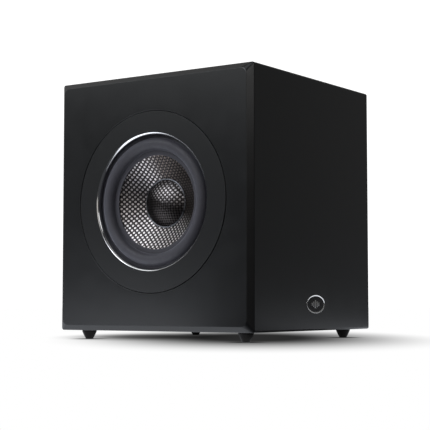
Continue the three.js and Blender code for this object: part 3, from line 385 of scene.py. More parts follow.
def board_green():
    """Solder mask over copper tracks."""
    look = Look("board_green")
    grid = look.vector("MULTIPLY", look.place, (0.0, 260.0, 260.0))
    cells = look.node("ShaderNodeTexVoronoi", {"Vector": grid, "Scale": 1.0}, distance="MANHATTAN")
    tracks = look.remap(cells.outputs["Distance"], 0.44, 0.5)
    colour = look.mix(tracks, (0.010, 0.075, 0.030), (0.028, 0.16, 0.065))
    colour = look.mix(look.remap(look.noise(60.0), 0.3, 0.8, 0.0, 0.4), colour, (0.008, 0.05, 0.022))
    return look.surface(Base_Color=colour, Roughness=0.35, Normal=look.bump(tracks, 0.03))


def light_lens():
    """A pale blue moulded lens, faintly lit."""
    look = Look("light_lens")
    colour = look.mix(look.noise(500.0), (0.28, 0.52, 0.95), (0.50, 0.72, 1.0))
    glow = look.vary(0.25, 0.5, 300.0)
    return look.surface(
        Base_Color=colour, Roughness=0.18, Transmission_Weight=0.4,
        Emission_Color=(0.35, 0.6, 1.0), Emission_Strength=glow, Normal=look.bump(look.noise(2000.0), 0.01),
    )


LACQUER = lacquer()
TRIM = powder("trim_black", (0.0030, 0.0033, 0.0037), (0.0045, 0.0048, 0.0053), 0.36)
POLISHED = metal("bezel_polished", (0.68, 0.68, 0.69), 0.11, tint=0.94)
SURROUND_RUBBER = rubber("surround_rubber", (0.027, 0.025, 0.033), (0.036, 0.034, 0.043), 0.6, 0.35)
FOOT_RUBBER = rubber("foot_rubber", (0.005, 0.0042, 0.0036), (0.009, 0.0078, 0.0068), 0.5, 0.0, 0.12)
# Painted sheen in both weaves: the cone's bright tows fade to a painted shade toward its upper right, the
# cap's over its lower half.
WOVEN = woven(
    "woven_glass", glass_low=(0.42, 0.39, 0.39), glass_high=(0.90, 0.85, 0.85), shade=(0.13, 0.11, 0.10),
    lit_side=(-0.8, 0.0, -0.6), lit_from=-0.62, lit_to=-0.05,
)
WOVEN_CAP = woven(
    "woven_cap", glass_low=(0.22, 0.21, 0.21), glass_high=(0.62, 0.58, 0.58), shade=(0.05, 0.045, 0.043),
    lit_side=(0.35, 0.0, 0.94), lit_from=-0.2, lit_to=0.8,
)
CAST = metal("cast_alloy", (0.09, 0.095, 0.10), 0.42)
STEEL = metal("motor_steel", (0.42, 0.43, 0.44), 0.28, turning_mm=0.01)
FERRITE = powder("ferrite", (0.012, 0.012, 0.013), (0.030, 0.030, 0.032), 0.62, 0.06)
COPPER = winding("copper", (0.72, 0.33, 0.14), (0.25, 0.09, 0.035), 0.5, "Y", 0.3, 1.0)
BRAID = winding("copper_braid", (0.66, 0.34, 0.17), (0.20, 0.08, 0.03), 0.4, "Z", 0.4, 1.0)
FILM = plastic("former_film", (0.22, 0.10, 0.020), (0.34, 0.17, 0.040), 0.3)
CLOTH = spider_cloth()
BADGE_BLACK = plastic("badge_black", (0.004, 0.004, 0.0045), (0.006, 0.006, 0.0065), 0.14, 0.001)
BADGE_CHROME = metal("badge_chrome", (0.80, 0.79, 0.78), 0.12, tint=0.9)
PANEL = powder("panel_black", (0.010, 0.010, 0.0105), (0.015, 0.015, 0.0155), 0.5, 0.05)
GREEN = board_green()
CONTROL = plastic("control_plastic", (0.0085, 0.0085, 0.009), (0.014, 0.014, 0.015), 0.4)
TAPE = winding("winding_tape", (0.50, 0.36, 0.07), (0.22, 0.15, 0.03), 6.0, "Z", 0.35, 0.0)
NICKEL = metal("jack_nickel", (0.70, 0.69, 0.67), 0.18)
LENS = light_lens()
SCREW = metal("screw_black", (0.030, 0.030, 0.032), 0.33)
CABLE = rubber("cable_rubber", (0.010, 0.010, 0.011), (0.018, 0.018, 0.019), 0.5, 0.1)
PRINT = plastic("print_grey", (0.42, 0.42, 0.42), (0.55, 0.55, 0.55), 0.6)
JACK_RED = plastic("jack_red", (0.30, 0.012, 0.010), (0.40, 0.020, 0.016), 0.4)
JACK_WHITE = plastic("jack_white", (0.50, 0.50, 0.48), (0.64, 0.64, 0.62), 0.4)
TIN = metal("solder_tin", (0.62, 0.63, 0.64), 0.25)
FIBREBOARD = fibreboard()
GLUE = metal("cap_glue", (0.20, 0.205, 0.22), 0.28)
CAP_SLEEVE = plastic("capacitor_sleeve", (0.012, 0.020, 0.045), (0.020, 0.030, 0.062), 0.35)


# ---------------------------------------------------------------- mesh helpers

def rounded(points, default=0.3, steps=4):
    """A closed outline with round corners; a point may carry its own radius as a third value."""
    result = []
    count = len(points)
    for index, point in enumerate(points):
        corner = Vector(point[:2])
        radius = point[2] if len(point) > 2 else default
        before = Vector(points[index - 1][:2]) - corner
        after = Vector(points[(index + 1) % count][:2]) - corner
        angle = before.angle(after) if before.length and after.length else math.pi
        if radius <= 0 or angle > math.radians(178) or angle < math.radians(2):
            result.append(tuple(corner))
            continue
        reach = min(radius / math.tan(angle / 2), 0.48 * before.length, 0.48 * after.length)
        radius = reach * math.tan(angle / 2)
        bisector = (before.normalized() + after.normalized()).normalized()
        centre = corner + bisector * radius / math.sin(angle / 2)
        first = corner + before.normalized() * reach - centre
        last = corner + after.normalized() * reach - centre
        sweep = math.pi - angle
        for step in range(steps + 1):
            share = step / steps
            mixed = first * math.sin((1 - share) * sweep) + last * math.sin(share * sweep)
            result.append(tuple(centre + mixed / math.sin(sweep)))
    return result


def arc(centre, radius, start, end, steps):
    """Points of an arc, angles in degrees."""
    turns = [math.radians(start + (end - start) * step / steps) for step in range(steps + 1)]
    return [(centre[0] + radius * math.cos(a), centre[1] + radius * math.sin(a)) for a in turns]


def mesh_piece(name, points, faces, looks, sharp=SHARP):
    """An object from points in millimetres, with merged poles and outward normals."""
    mesh = bpy.data.meshes.new(name)
    mesh.from_pydata([tuple(c * MM for c in point) for point in points], [], faces)
    work = bmesh.new()
    work.from_mesh(mesh)
    bmesh.ops.remove_doubles(work, verts=work.verts, dist=MERGE)
    bmesh.ops.recalc_face_normals(work, faces=work.faces)
    work.to_mesh(mesh)
    work.free()
    mesh.shade_smooth()
    mesh.set_sharp_from_angle(angle=math.radians(sharp))
    for look in looks if isinstance(looks, (list, tuple)) else [looks]:
        mesh.materials.append(look)
    piece = bpy.data.objects.new(name, mesh)
    bpy.context.scene.collection.objects.link(piece)
    return piece


def loft(name, loops, look, closed=True, sharp=SHARP):
    """A skin through loops of equally many points; closed joins the last loop to the first."""
    size = len(loops[0])
    points = [point for loop in loops for point in loop]
    faces = []
    for i in range(len(loops) if closed else len(loops) - 1):
        j = (i + 1) % len(loops)
        for k in range(size):
            m = (k + 1) % size
            faces.append((i * size + k, i * size + m, j * size + m, j * size + k))
    if not closed:
        faces.append(tuple(reversed(range(size))))
        faces.append(tuple(range((len(loops) - 1) * size, len(loops) * size)))
    return mesh_piece(name, points, faces, look, sharp)


def turned(name, profile, place, look, segments=ROUND, sharp=SHARP):
    """A closed profile of (radius, height) turned once; place sets each point."""
    angles = [2 * math.pi * i / segments for i in range(segments)]
    loops = [[place(radius, height, angle) for angle in angles] for radius, height in profile]
    return loft(name, loops, look, True, sharp)


def unit(side):
    """Placing rule of a round unit: the height is the depth behind the cabinet face."""
    def place(radius, depth, angle):
        return radius * math.cos(angle), side * (HALF_Y - depth), CENTRE_Z + radius * math.sin(angle)
    return place


def upright(x, y, z=0.0):
    """Placing rule of a piece that stands up along Z."""
    def place(radius, height, angle):
        return x + radius * math.cos(angle), y + radius * math.sin(angle), z + height
    return place


def outward(y, z, x):
    """Placing rule of a piece whose height runs out of the amplifier panel, along -X."""
    def place(radius, height, angle):
        return x - height, y + radius * math.cos(angle), z + radius * math.sin(angle)
    return place


def prism(name, outline, place, low, high, look, sharp=SHARP):
    """An outline made thick between two levels."""
    return loft(name, [[place(a, b, level) for a, b in outline] for level in (low, high)], look, False, sharp)


def along_x(a, b, level):
    """Placing rule of a prism along X, with its outline in Y and Z."""
    return level, a, b


def along_y(a, b, level):
    """Placing rule of a prism along Y, with its outline in X and Z."""
    return a, level, b


def along_z(a, b, level):
    """Placing rule of a prism along Z, with its outline in X and Y."""
    return a, b, level


def rectangle(low_a, high_a, low_b, high_b, radius=0.0, steps=5):
    """A rectangle's outline, with round corners if asked."""
    points = [(low_a, low_b), (high_a, low_b), (high_a, high_b), (low_a, high_b)]
    return rounded(points, radius, steps)


def oval(margin=0.0, count=120):
    """The badge outline in Y and Z, grown by a margin."""
    turns = [2 * math.pi * i / count for i in range(count)]
    half_y, half_z = BADGE_HALF[0] + margin, BADGE_HALF[1] + margin
    return [(half_y * math.cos(a), BADGE_CENTRE_Z + half_z * math.sin(a)) for a in turns]


def block(name, low, high, look, edge=0.3, segments=3):
    """A block between two corners with rounded edges."""
    outline = [(low[0], low[1]), (high[0], low[1]), (high[0], high[1]), (low[0], high[1])]
    piece = prism(name, outline, along_z, low[2], high[2], look)
    return soften(piece, edge, segments) if edge else piece


def applied(piece):
    """Bakes a piece's modifiers into its mesh."""
    graph = bpy.context.evaluated_depsgraph_get()
    mesh = bpy.data.meshes.new_from_object(piece.evaluated_get(graph))
    piece.modifiers.clear()
    old = piece.data
    piece.data = mesh
    bpy.data.meshes.remove(old)
    mesh.name = piece.name
    return piece


def soften(piece, width, segments=3, angle=40.0, sharp=38.0):
    """Rounds the hard edges of a piece."""
    bevel = piece.modifiers.new("round", "BEVEL")
    bevel.width = width * MM
    bevel.segments = segments
    bevel.limit_method = "ANGLE"
    bevel.angle_limit = math.radians(angle)
    bevel.use_clamp_overlap = True
    applied(piece)
    piece.data.set_sharp_from_angle(angle=math.radians(sharp))
    return piece


def carve(piece, *cutters, operation="DIFFERENCE"):
    """Cuts the other pieces away, or joins them on, and removes them."""
    for cutter in cutters:
        change = piece.modifiers.new("cut", "BOOLEAN")
        change.object = cutter
        change.operation = operation
        change.solver = "EXACT"
        applied(piece)
        bpy.data.objects.remove(cutter)
    work = bmesh.new()
    work.from_mesh(piece.data)
    bmesh.ops.remove_doubles(work, verts=work.verts, dist=MERGE)
    bmesh.ops.dissolve_degenerate(work, edges=work.edges, dist=MERGE)
    work.to_mesh(piece.data)
    work.free()
    piece.data.set_sharp_from_angle(angle=math.radians(SHARP))
    return piece


def gathered(name, parts):
    """Several loose parts as one piece that keeps their materials."""
    work = bmesh.new()
    mesh = bpy.data.meshes.new(name)
    looks = []
    for part in parts:
        own = []
        for look in part.data.materials:
            if look not in looks:
                looks.append(look)
            own.append(looks.index(look))
        start = len(work.faces)
        work.from_mesh(part.data)
        work.faces.ensure_lookup_table()
        for face in work.faces[start:]:
            face.material_index = own[min(face.material_index, len(own) - 1)]
        bpy.data.objects.remove(part)
    work.to_mesh(mesh)
    work.free()
    for look in looks:
        mesh.materials.append(look)
    mesh.set_sharp_from_angle(angle=math.radians(SHARP))
    piece = bpy.data.objects.new(name, mesh)
    bpy.context.scene.collection.objects.link(piece)
    return piece


def even_normals(piece):
    """Keeps flat ground flat beside rounded edges."""
    even = piece.modifiers.new("even", "WEIGHTED_NORMAL")
    even.keep_sharp = True
    even.weight = 100
    return piece


def settle(piece, body, slot, *nodes):
    """The last step of every rigid piece: its body and what it stands for. The slot argument is not used."""
    even_normals(piece)
    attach(piece, body)
    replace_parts(piece, *nodes)
    return piece


def smooth_path(points, per_span=12):
    """A Catmull-Rom curve through points."""
    spots = [Vector(p) for p in points]
    spots = [2 * spots[0] - spots[1], *spots, 2 * spots[-1] - spots[-2]]
    path = []
    for i in range(1, len(spots) - 2):
        a, b, c, d = spots[i - 1:i + 3]
        for step in range(per_span):
            t = step / per_span
            path.append(0.5 * (
                2 * b + (c - a) * t + (2 * a - 5 * b + 4 * c - d) * t * t + (3 * b - a - 3 * c + d) * t ** 3
            ))
    path.append(spots[-2])
    return path


def strand(name, path, radius, look, offset=0.0, lay=0.0, phase=0.0, sides=12):
    """A round strand along a path, winding round it at an offset with the given lay length."""
    loops = []
    side = (path[1] - path[0]).orthogonal().normalized()
    run = 0.0
    for index, spot in enumerate(path):
        ahead = path[min(index + 1, len(path) - 1)]
        behind = path[max(index - 1, 0)]
        heading = (ahead - behind).normalized()
        side = (side - side.dot(heading) * heading).normalized()
        other = heading.cross(side)
        run += (spot - behind).length
        turn = phase + (2 * math.pi * run / lay if lay else 0.0)
        middle = spot + offset * (math.cos(turn) * side + math.sin(turn) * other)
        ring = [2 * math.pi * k / sides for k in range(sides)]
        loops.append([tuple(middle + radius * (math.cos(a) * side + math.sin(a) * other)) for a in ring])
    return loft(name, loops, look, False, 60.0)


# ---------------------------------------------------------------- cabinet

FACE_TILT = math.atan2(HALF_HEIGHT, HALF_X)
FACE_STEPS = 36
CORNER_STEPS = 6


def face_rectangle(inset):
    """Points round the cabinet face, moved in from its outline: equal angles, then round corners."""
    half_x, half_z = HALF_X - inset, HALF_HEIGHT - inset
    corner = CORNER_ROUND + CORNER_GROWTH * max(inset, 0.0)
    quarter = []
    for step in range(FACE_STEPS):
        angle = FACE_TILT * step / FACE_STEPS
        quarter.append((half_x, min(half_x * math.tan(angle), half_z - corner)))
    quarter += arc((half_x - corner, half_z - corner), corner, 0, 90, CORNER_STEPS)
    for step in range(1, FACE_STEPS + 1):
        angle = FACE_TILT + (math.pi / 2 - FACE_TILT) * step / FACE_STEPS
        quarter.append((min(half_z / math.tan(angle), half_x - corner), half_z))
    left = [(-x, z) for x, z in reversed(quarter)][1:]
    low = [(-x, -z) for x, z in quarter][1:]
    right = [(x, -z) for x, z in reversed(quarter)][1:-1]
    return quarter + left + low + right


def baffle(name, side):
    """A face panel: chamfered outline, a groove round the cover ring, a stepped recess, a throat."""
    spokes = [math.atan2(z, x) for x, z in face_rectangle(0)]

    def framed(inset, depth):
        return [(x, side * (HALF_Y - depth), CENTRE_Z + z) for x, z in face_rectangle(inset)]

    def round_at(radius, depth):
        return [unit(side)(radius, depth, angle) for angle in spokes]

    recess, seat = TRIM_RADIUS + GROOVE, TRIM_THICKNESS + SEAT_GAP
    well, ledge = FRAME_RADIUS + FRAME_FIT, FRAME_BACK + LEDGE_GAP
    throat = THROAT + FRAME_FIT
    outer = [(-1.0, BAFFLE_THICKNESS, 0), (0, BAFFLE_THICKNESS, 0), (0, CHAMFER, EDGE_ROUND),
             (CHAMFER, 0, EDGE_ROUND), (CHAMFER + FLAT_BAND, 0, 0)]
    inner = [(recess + FLAT_BAND, 0, 0), (recess, 0, GROOVE_ROUND), (recess, seat, 0.2), (well, seat, 0.2),
             (well, ledge, 0), (throat, ledge, 0.2), (throat, BAFFLE_THICKNESS, 0)]
    loops = [framed(*point) for point in rounded(outer)[1:-1]]
    loops += [round_at(*point) for point in rounded(inner)]
    return settle(loft(name, loops, LACQUER), CABINET, "lacquer", name.replace("_shell", ""))


def roof_or_floor(name, node, top):
    """A board between the baffles; its two outer edges are rounded like the baffles' corners."""
    low, high = box_mm(node)
    outer, inner = (high[2], low[2]) if top else (low[2], high[2])
    outline = rounded([
        (-HALF_X, outer, CORNER_ROUND), (HALF_X, outer, CORNER_ROUND),
        (HALF_X, inner, 0), (-HALF_X, inner, 0),
    ], 0, CORNER_STEPS)
    return settle(prism(name, outline, along_y, -INNER_Y, INNER_Y, LACQUER), CABINET, "lacquer", node)


BADGE_LOW, BADGE_HIGH = box_mm("badge_rim")
BADGE_HALF = [(BADGE_HIGH[1] - BADGE_LOW[1]) / 2, (BADGE_HIGH[2] - BADGE_LOW[2]) / 2]
BADGE_CENTRE_Z = (BADGE_HIGH[2] + BADGE_LOW[2]) / 2
BADGE_RIM = 2.0
BADGE_CREST = 0.55
BADGE_POCKET = 2.4
BADGE_BED = 0.2
BADGE_FIT = 0.3
BAR_HEIGHTS = (4.0, 7.5, 11.0, 8.0, 5.0)
BAR_PITCH = 4.6
BAR_WIDTH = 2.3
BAR_PROUD = 0.35


def badge_wall():
    """The wall opposite the amplifier, with a shallow pocket for the badge."""
    low, high = box_mm("badge_panel")
    outline = rectangle(low[1], high[1], low[2], high[2])
    wall = prism("badge_wall", outline, along_x, low[0], high[0], LACQUER)
    pocket = prism("pocket", oval(BADGE_FIT), along_x, high[0] - BADGE_POCKET, high[0] + 1, LACQUER)
    return settle(carve(wall, pocket), CABINET, "lacquer", "badge_panel")


def rear_wall():
    """The wall with a rebate for the amplifier plate and an opening behind it."""
    low, high = box_mm("rear_panel")
    outline = rectangle(low[1], high[1], low[2], high[2])
    wall = prism("rear_wall", outline, along_x, low[0], high[0], LACQUER)
    fit, corner, rest = 0.6, 6.0, 11.0
    rebate = rectangle(AMP_LOW[1] - fit, AMP_HIGH[1] + fit, AMP_LOW[2] - fit, AMP_HIGH[2] + fit, corner, 8)
    opening = rectangle(
        AMP_LOW[1] + rest, AMP_HIGH[1] - rest, AMP_LOW[2] + rest, AMP_HIGH[2] - rest, corner, 8,
    )
    carve(
        wall,
        prism("rebate", rebate, along_x, low[0] - 1, AMP_IN_X, LACQUER),
        prism("opening", opening, along_x, AMP_IN_X - 1, high[0] + 1, LACQUER),
    )
    return settle(wall, CABINET, "lacquer", "rear_panel")


def brace():
    """The brace between the side walls, with one large window."""
    low, high = box_mm("window_brace")
    margin_x, margin_z, corner = 37, 44, 18
    wall = prism("brace", rectangle(low[0], high[0], low[2], high[2]), along_y, low[1], high[1], FIBREBOARD)
    window = rectangle(
        low[0] + margin_x, high[0] - margin_x, low[2] + margin_z, high[2] - margin_z, corner, 10,
    )
    carve(wall, prism("window", window, along_y, low[1] - 1, high[1] + 1, FIBREBOARD))
    return settle(soften(wall, 1.2), CABINET, "fibreboard", "window_brace")


def foot(node):
    """A rubber foot: a moulded flange, a swelling taper and a rounded base."""
    x, y, _ = middle_of(node)
    low, high = box_mm(node)
    top, radius = high[2], (high[0] - low[0]) / 2
    base, lift, band, swell = 5.2, 1.0, 2.0, 0.8
    belly = [(base + (radius - base) * share ** swell, lift + (top - band - lift) * share, 0)
             for share in np.linspace(0.1, 1.0, 14)]
    profile = rounded([(0, 0, 0), (base, 0, 0.9), *belly, (radius, top, 0.3), (0, top, 0)], 0.3, 6)
    pad = turned(node + "_pad", profile, upright(x, y), FOOT_RUBBER, 64)
    return settle(pad, CABINET, "foot_rubber", node)


def badge():
    """A polished oval rim round a dark plate that carries plain level bars."""
    bed = HALF_X - BADGE_POCKET + BADGE_BED
    rim_profile = rounded([
        (0.0, bed, 0), (0.0, HALF_X + BADGE_CREST, BADGE_CREST), (-BADGE_RIM, HALF_X - 0.1, 0.5),
        (-BADGE_RIM, bed, 0),
    ], 0, 8)
    loops = [[(x, y, z) for y, z in oval(margin)] for margin, x in rim_profile]
    settle(loft("badge_rim_ring", loops, BADGE_CHROME), CABINET, "badge_chrome", "badge_rim")
    low, high = box_mm("badge_disc")
    plate = prism("badge_plate", oval(-BADGE_RIM - 0.15), along_x, low[0], high[0], BADGE_BLACK)
    settle(soften(plate, 0.25, 2), CABINET, "badge_black", "badge_disc")
    bars = []
    for index, tall in enumerate(BAR_HEIGHTS):
        y = (index - (len(BAR_HEIGHTS) - 1) / 2) * BAR_PITCH
        corner_low = (high[0] - 0.1, y - BAR_WIDTH / 2, BADGE_CENTRE_Z - tall / 2)
        corner_high = (high[0] + BAR_PROUD, y + BAR_WIDTH / 2, BADGE_CENTRE_Z + tall / 2)
        bars.append(block(f"bar_{index}", corner_low, corner_high, BADGE_CHROME, 0.12, 2))
    emblem = even_normals(gathered("badge_bars", bars))
    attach(emblem, CABINET)


def cabinet():
    """The box with its brace, badge and feet."""
    baffle("driver_baffle_shell", DRIVER_SIDE)
    baffle("radiator_baffle_shell", RADIATOR_SIDE)
    roof_or_floor("roof_board", "top_panel", True)
    roof_or_floor("floor_board", "bottom_panel", False)
    badge_wall()
    rear_wall()
    brace()
    badge()
    for node in ("foot_front_left", "foot_front_right", "foot_rear_left", "foot_rear_right"):
        foot(node)


# ---------------------------------------------------------------- round units

BEZEL_GAP = 0.2
WEAVE_RELIEF = 0.85
FORMER_INNER = 26.4
COIL_INNER = 26.95
WIRE = 0.5
LEAD_SPOTS = [(57.5, 72.8), (51, 72.6), (45, 62), (44, 44), (47, 28.4)]


def cover_ring(name, side, node):
    """The flat coated ring that hides the frame and its screws."""
    inner = BEZEL_RADIUS + BEZEL_GAP
    profile = rounded([
        (inner, 0, 0.15), (TRIM_RADIUS, 0, 0.35), (TRIM_RADIUS, TRIM_THICKNESS, 0.2),
        (inner, TRIM_THICKNESS, 0.2),
    ])
    return settle(turned(name, profile, unit(side), TRIM), CABINET, "trim_black", node)


def bezel(name, side, node):
    """A polished ring whose quarter-round nose rolls over toward the cone."""
    lean = math.radians(BEZEL_LEAN)
    inner = BEZEL_RADIUS - BEZEL_NOSE
    curve = BEZEL_NOSE / (1 - math.sin(lean))
    middle = (BEZEL_RADIUS + curve * math.sin(lean), curve * math.cos(lean))
    nose = arc(middle, curve, -90 - BEZEL_LEAN, -180, 24)
    profile = [*nose, (inner, TRIM_THICKNESS), (BEZEL_RADIUS, TRIM_THICKNESS)]
    return settle(turned(name, profile, unit(side), POLISHED), CABINET, "bezel_polished", node)


def surround(name, side, node):
    """Flange, half roll and lip in one rubber moulding; the mesh stays in its rest shape and doesn't flex
    with the diaphragm.
    """
    foot_depth = ROLL_CROWN + ROLL_HALF_WIDTH
    lip = CONE_EDGE_DEPTH - 0.3 - RUBBER
    inner_foot = ROLL_RADIUS - ROLL_HALF_WIDTH
    centre = (ROLL_RADIUS, foot_depth)

    def roll(radius, start, end):
        return [(r, d, 0) for r, d in arc(centre, radius, start, end, 28)[1:-1]]

    profile = rounded([
        (SURROUND_RADIUS, foot_depth, 0.3),
        (SURROUND_RADIUS, foot_depth - RUBBER, 0.3),
        (ROLL_RADIUS + ROLL_HALF_WIDTH - 0.1, foot_depth - RUBBER, 0.6),
        *roll(ROLL_HALF_WIDTH, -8, -180),
        (inner_foot, lip - 0.05, 0.9),
        (LIP_RADIUS, lip, 0.35),
        (LIP_RADIUS, lip + RUBBER, 0.2),
        (inner_foot + RUBBER, lip + RUBBER, 0.5),
        *roll(ROLL_HALF_WIDTH - RUBBER, -180, 0),
    ], 0.3, 5)
    piece = turned(name, profile, unit(side), SURROUND_RUBBER, ROUND, 50.0)
    flex(piece)
    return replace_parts(piece, node)


def flex(piece):
    """Bakes a piece's placement into its mesh; the piece is not blended between the cabinet and a moving
    body.
    """
    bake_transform(piece)


def weave_height(x, z):
    """Height of a plain weave above its middle, from the crossings of two sets of tows."""
    sway, bulge, fill = 0.17, 0.42, 0.94

    def tow(across, along, sign):
        nearest = np.round(across / TOW)
        share = (across / TOW - nearest) * 2 / fill
        crown = np.sqrt(np.clip(1 - share ** 2, 0, 1)) - 1
        return sign * sway * np.cos(math.pi * along / TOW) * np.cos(math.pi * nearest) + bulge * crown

    return np.maximum(tow(x, z, -1.0), tow(z, x, 1.0))


def woven_skin(name, side, profile, back, look=None):
    """A turned woven shell: a fine polar grid along the profile, raised by the weave, and a plain back."""
    segments = 640
    step = 0.45
    angles = np.linspace(0, 2 * math.pi, segments, endpoint=False)
    rows = []
    for (r0, d0), (r1, d1) in zip(profile, profile[1:]):
        count = max(1, round(math.hypot(r1 - r0, d1 - d0) / step))
        rows += [(r0 + (r1 - r0) * i / count, d0 + (d1 - d0) * i / count) for i in range(count)]
    rows.append(profile[-1])
    loops = []
    for radius, depth in rows:
        x, z = radius * np.cos(angles), radius * np.sin(angles)
        y = side * (HALF_Y - depth + weave_height(x, z) * WEAVE_RELIEF)
        loops.append(list(zip(x, y, z + CENTRE_Z)))
    for radius, depth in back:
        loops.append([unit(side)(radius, depth, angle) for angle in angles])
    return loft(name, loops, look or WOVEN, True, 70.0)


def driver_cone():
    """The cone, from under the lip down to the neck."""
    steps = 10
    front = []
    for i in range(steps + 1):
        share = i / steps
        radius = CONE_RIM + (NECK_RADIUS - CONE_RIM) * share
        depth = CONE_DEPTH + (NECK_DEPTH - CONE_DEPTH) * share
        front.append((radius, depth))
    back = [(NECK_RADIUS, NECK_DEPTH + CONE_THICKNESS), (CONE_RIM, CONE_DEPTH + CONE_THICKNESS)]
    piece = woven_skin("driver_cone_weave", DRIVER_SIDE, front, back)
    return settle(piece, DRIVER_BODY, "woven_glass", "driver_cone")


def dome(offset, steps=40):
    """The dust cap's profile, a spherical cap moved back by an offset."""
    rise = CAP_BASE - CAP_APEX
    sphere = (CAP_RADIUS ** 2 + rise ** 2) / (2 * rise)
    radii = [CAP_RADIUS * i / steps for i in range(steps + 1)]
    return [(r, CAP_APEX + offset + sphere - math.sqrt(sphere ** 2 - r ** 2)) for r in radii]


def dust_cap():
    """The woven dome and the bead of glue round its rim."""
    front_offset, back_offset, bead_radius = 0.3, 1.2, 0.95
    back = list(reversed(dome(back_offset)))
    piece = woven_skin("dust_cap_weave", DRIVER_SIDE, dome(front_offset), back, WOVEN_CAP)
    settle(piece, DRIVER_BODY, "woven_glass", "dust_cap")
    bead = arc((CAP_RADIUS + 0.6, CAP_BASE - 0.3), bead_radius, 0, 360, 20)[:-1]
    bead_ring = turned("dust_cap_bead", bead, unit(DRIVER_SIDE), GLUE, ROUND, 60)
    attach(bead_ring, DRIVER_BODY)


def plain_ring(node, inner, look, slot, body=CABINET, edge=0.6):
    """A machined ring of the motor."""
    front, back = depths_of(node)
    outer = radius_of(node)
    profile = rounded([(inner, front), (outer, front), (outer, back), (inner, back)], edge, 3)
    return settle(turned(node + "_ring", profile, unit(DRIVER_SIDE), look), body, slot, node)


def coil():
    """The former and the wound coil, with a ridge for each turn of wire."""
    plain_ring("coil_former", FORMER_INNER, FILM, "former_film", DRIVER_BODY, 0.1)
    front, back = depths_of("voice_coil")
    outer = radius_of("voice_coil")
    turns = round((back - front) / (2 * WIRE))
    profile = []
    for turn in range(turns):
        middle = front + WIRE + 2 * WIRE * turn
        profile += arc((outer - WIRE, middle), WIRE, -80, 80, 4)
    profile += [(COIL_INNER, back), (COIL_INNER, front)]
    piece = turned("voice_coil_turns", profile, unit(DRIVER_SIDE), COPPER, 128)
    settle(piece, DRIVER_BODY, "copper", "voice_coil")


def spider():
    """The corrugated cloth disc that centres the coil."""
    low, high = box_mm("spider")
    middle = (low[1] + high[1]) / 2 + HALF_Y
    inner, outer, waves, wave, thick = 27.5, radius_of("spider"), 2, 1.4, 0.7
    steps = 48
    front = []
    for i in range(steps + 1):
        share = i / steps
        radius = inner + share * (outer - inner)
        front.append((radius, middle - thick / 2 + wave * math.sin(2 * math.pi * waves * share)))
    back = [(r, d + thick) for r, d in reversed(front)]
    piece = turned("spider_cloth_disc", front + back, unit(DRIVER_SIDE), CLOTH, 128, 60)
    flex(piece)
    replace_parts(piece, "spider")


def tinsel_lead():
    """A lead of three twisted braids between the terminal and the coil former."""
    path = smooth_path([(0, depth - HALF_Y, height) for depth, height in LEAD_SPOTS], 16)
    path = [spot + Vector((0, 0, CENTRE_Z)) for spot in path]
    braids, radius, offset, lay = 3, 0.42, 0.36, 5.0
    piece = gathered("tinsel_lead_braid", [
        strand(f"lead_{i}", path, radius, BRAID, offset, lay, 2 * math.pi * i / braids, 8)
        for i in range(braids)
    ])
    flex(piece)
    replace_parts(piece, "tinsel_lead")


def flange_profile(back_points):
    """The shared front of both frames, followed by the back of one of them."""
    return rounded([
        (LEDGE_RADIUS, LEDGE_DEPTH), (FRAME_STEP, LEDGE_DEPTH), (FRAME_STEP, FRAME_FRONT),
        (FRAME_RADIUS, FRAME_FRONT), (FRAME_RADIUS, FRAME_BACK), (THROAT, FRAME_BACK), *back_points,
    ], 0.5, 3)


def basket():
    """The cast basket with six windows between its spokes."""
    shoulder, waist, back, hub_outer, hub_inner, hub_front = 24, 62, 74, 55, 40, 70
    ledge_outer, ledge_inner, ledge_front, ledge_back = 51, 46.5, 57.3, 60.5
    body = turned("basket_casting", flange_profile([
        (THROAT, shoulder, 2), (waist, waist, 2), (hub_outer, back), (hub_inner, back),
        (hub_inner, hub_front),
        (ledge_outer, hub_front), (ledge_outer, ledge_back), (ledge_inner, ledge_back),
        (ledge_inner, ledge_front), (58, ledge_front, 1), (FRAME_WALL, 20, 2), (FRAME_WALL, FRAME_BACK),
        (LEDGE_RADIUS, FRAME_BACK),
    ]), unit(DRIVER_SIDE), CAST, 96)
    count, half_angle, inner, front, behind = 6, 20, 46, 29, 53
    windows = []
    for index in range(count):
        turn = 360 / count * index + 90
        outline = arc((0, 0), inner, turn - half_angle, turn + half_angle, 8)
        outline += arc((0, 0), TRIM_RADIUS, turn + half_angle, turn - half_angle, 8)
        outline = [(x, CENTRE_Z + z) for x, z in rounded(outline, 0)]
        windows.append(prism(f"window_{index}", outline, along_y, front - HALF_Y, behind - HALF_Y, CAST))
    carve(body, *windows)
    return settle(soften(body, 0.5, 2), CABINET, "cast_alloy", "driver_basket")


def terminal():
    """The moulded terminal block and its two flat tabs."""
    low, high = box_mm("driver_terminal")
    body_back = low[1] + 12
    half_width, tab_low, tab_high = 2.4, low[2] + 2.2, low[2] + 3
    body = block("terminal_block", low, (high[0], body_back, high[2]), CONTROL, 0.8)
    tabs = [
        block(
            f"tab_{x}", (x - half_width, body_back - 1, tab_low), (x + half_width, high[1], tab_high),
            TIN, 0.2,
        )
        for x in (-7, 7)
    ]
    piece = gathered("terminal_block_tabs", [body, *tabs])
    return settle(piece, CABINET, "control_plastic", "driver_terminal")


def pan_screw(node, place, head, shank, length):
    """A pan-head screw with a hexagon socket; its head rises from the place's zero height."""
    rise, crown, tip, socket_radius, socket_depth = 2.2, head * 0.72, 2, head * 0.42, 1.3
    body = turned(node + "_pan", rounded([
        (0, rise, 0), (crown, rise, 0.7), (head, 0.5, 0.5), (head, 0, 0.1), (shank, 0, 0.1),
        (shank, -length + tip, 0), (0, -length, 0),
    ], 0, 4), place, SCREW, 32)
    levels = (rise + 0.5, rise - socket_depth)
    socket = [place(socket_radius, level, math.radians(60 * k)) for level in levels for k in range(6)]
    faces = [(k, (k + 1) % 6, 6 + (k + 1) % 6, 6 + k) for k in range(6)]
    faces += [tuple(range(6)), tuple(range(11, 5, -1))]
    carve(body, mesh_piece("socket", socket, faces, SCREW))
    return settle(body, CABINET, "screw_black", node)


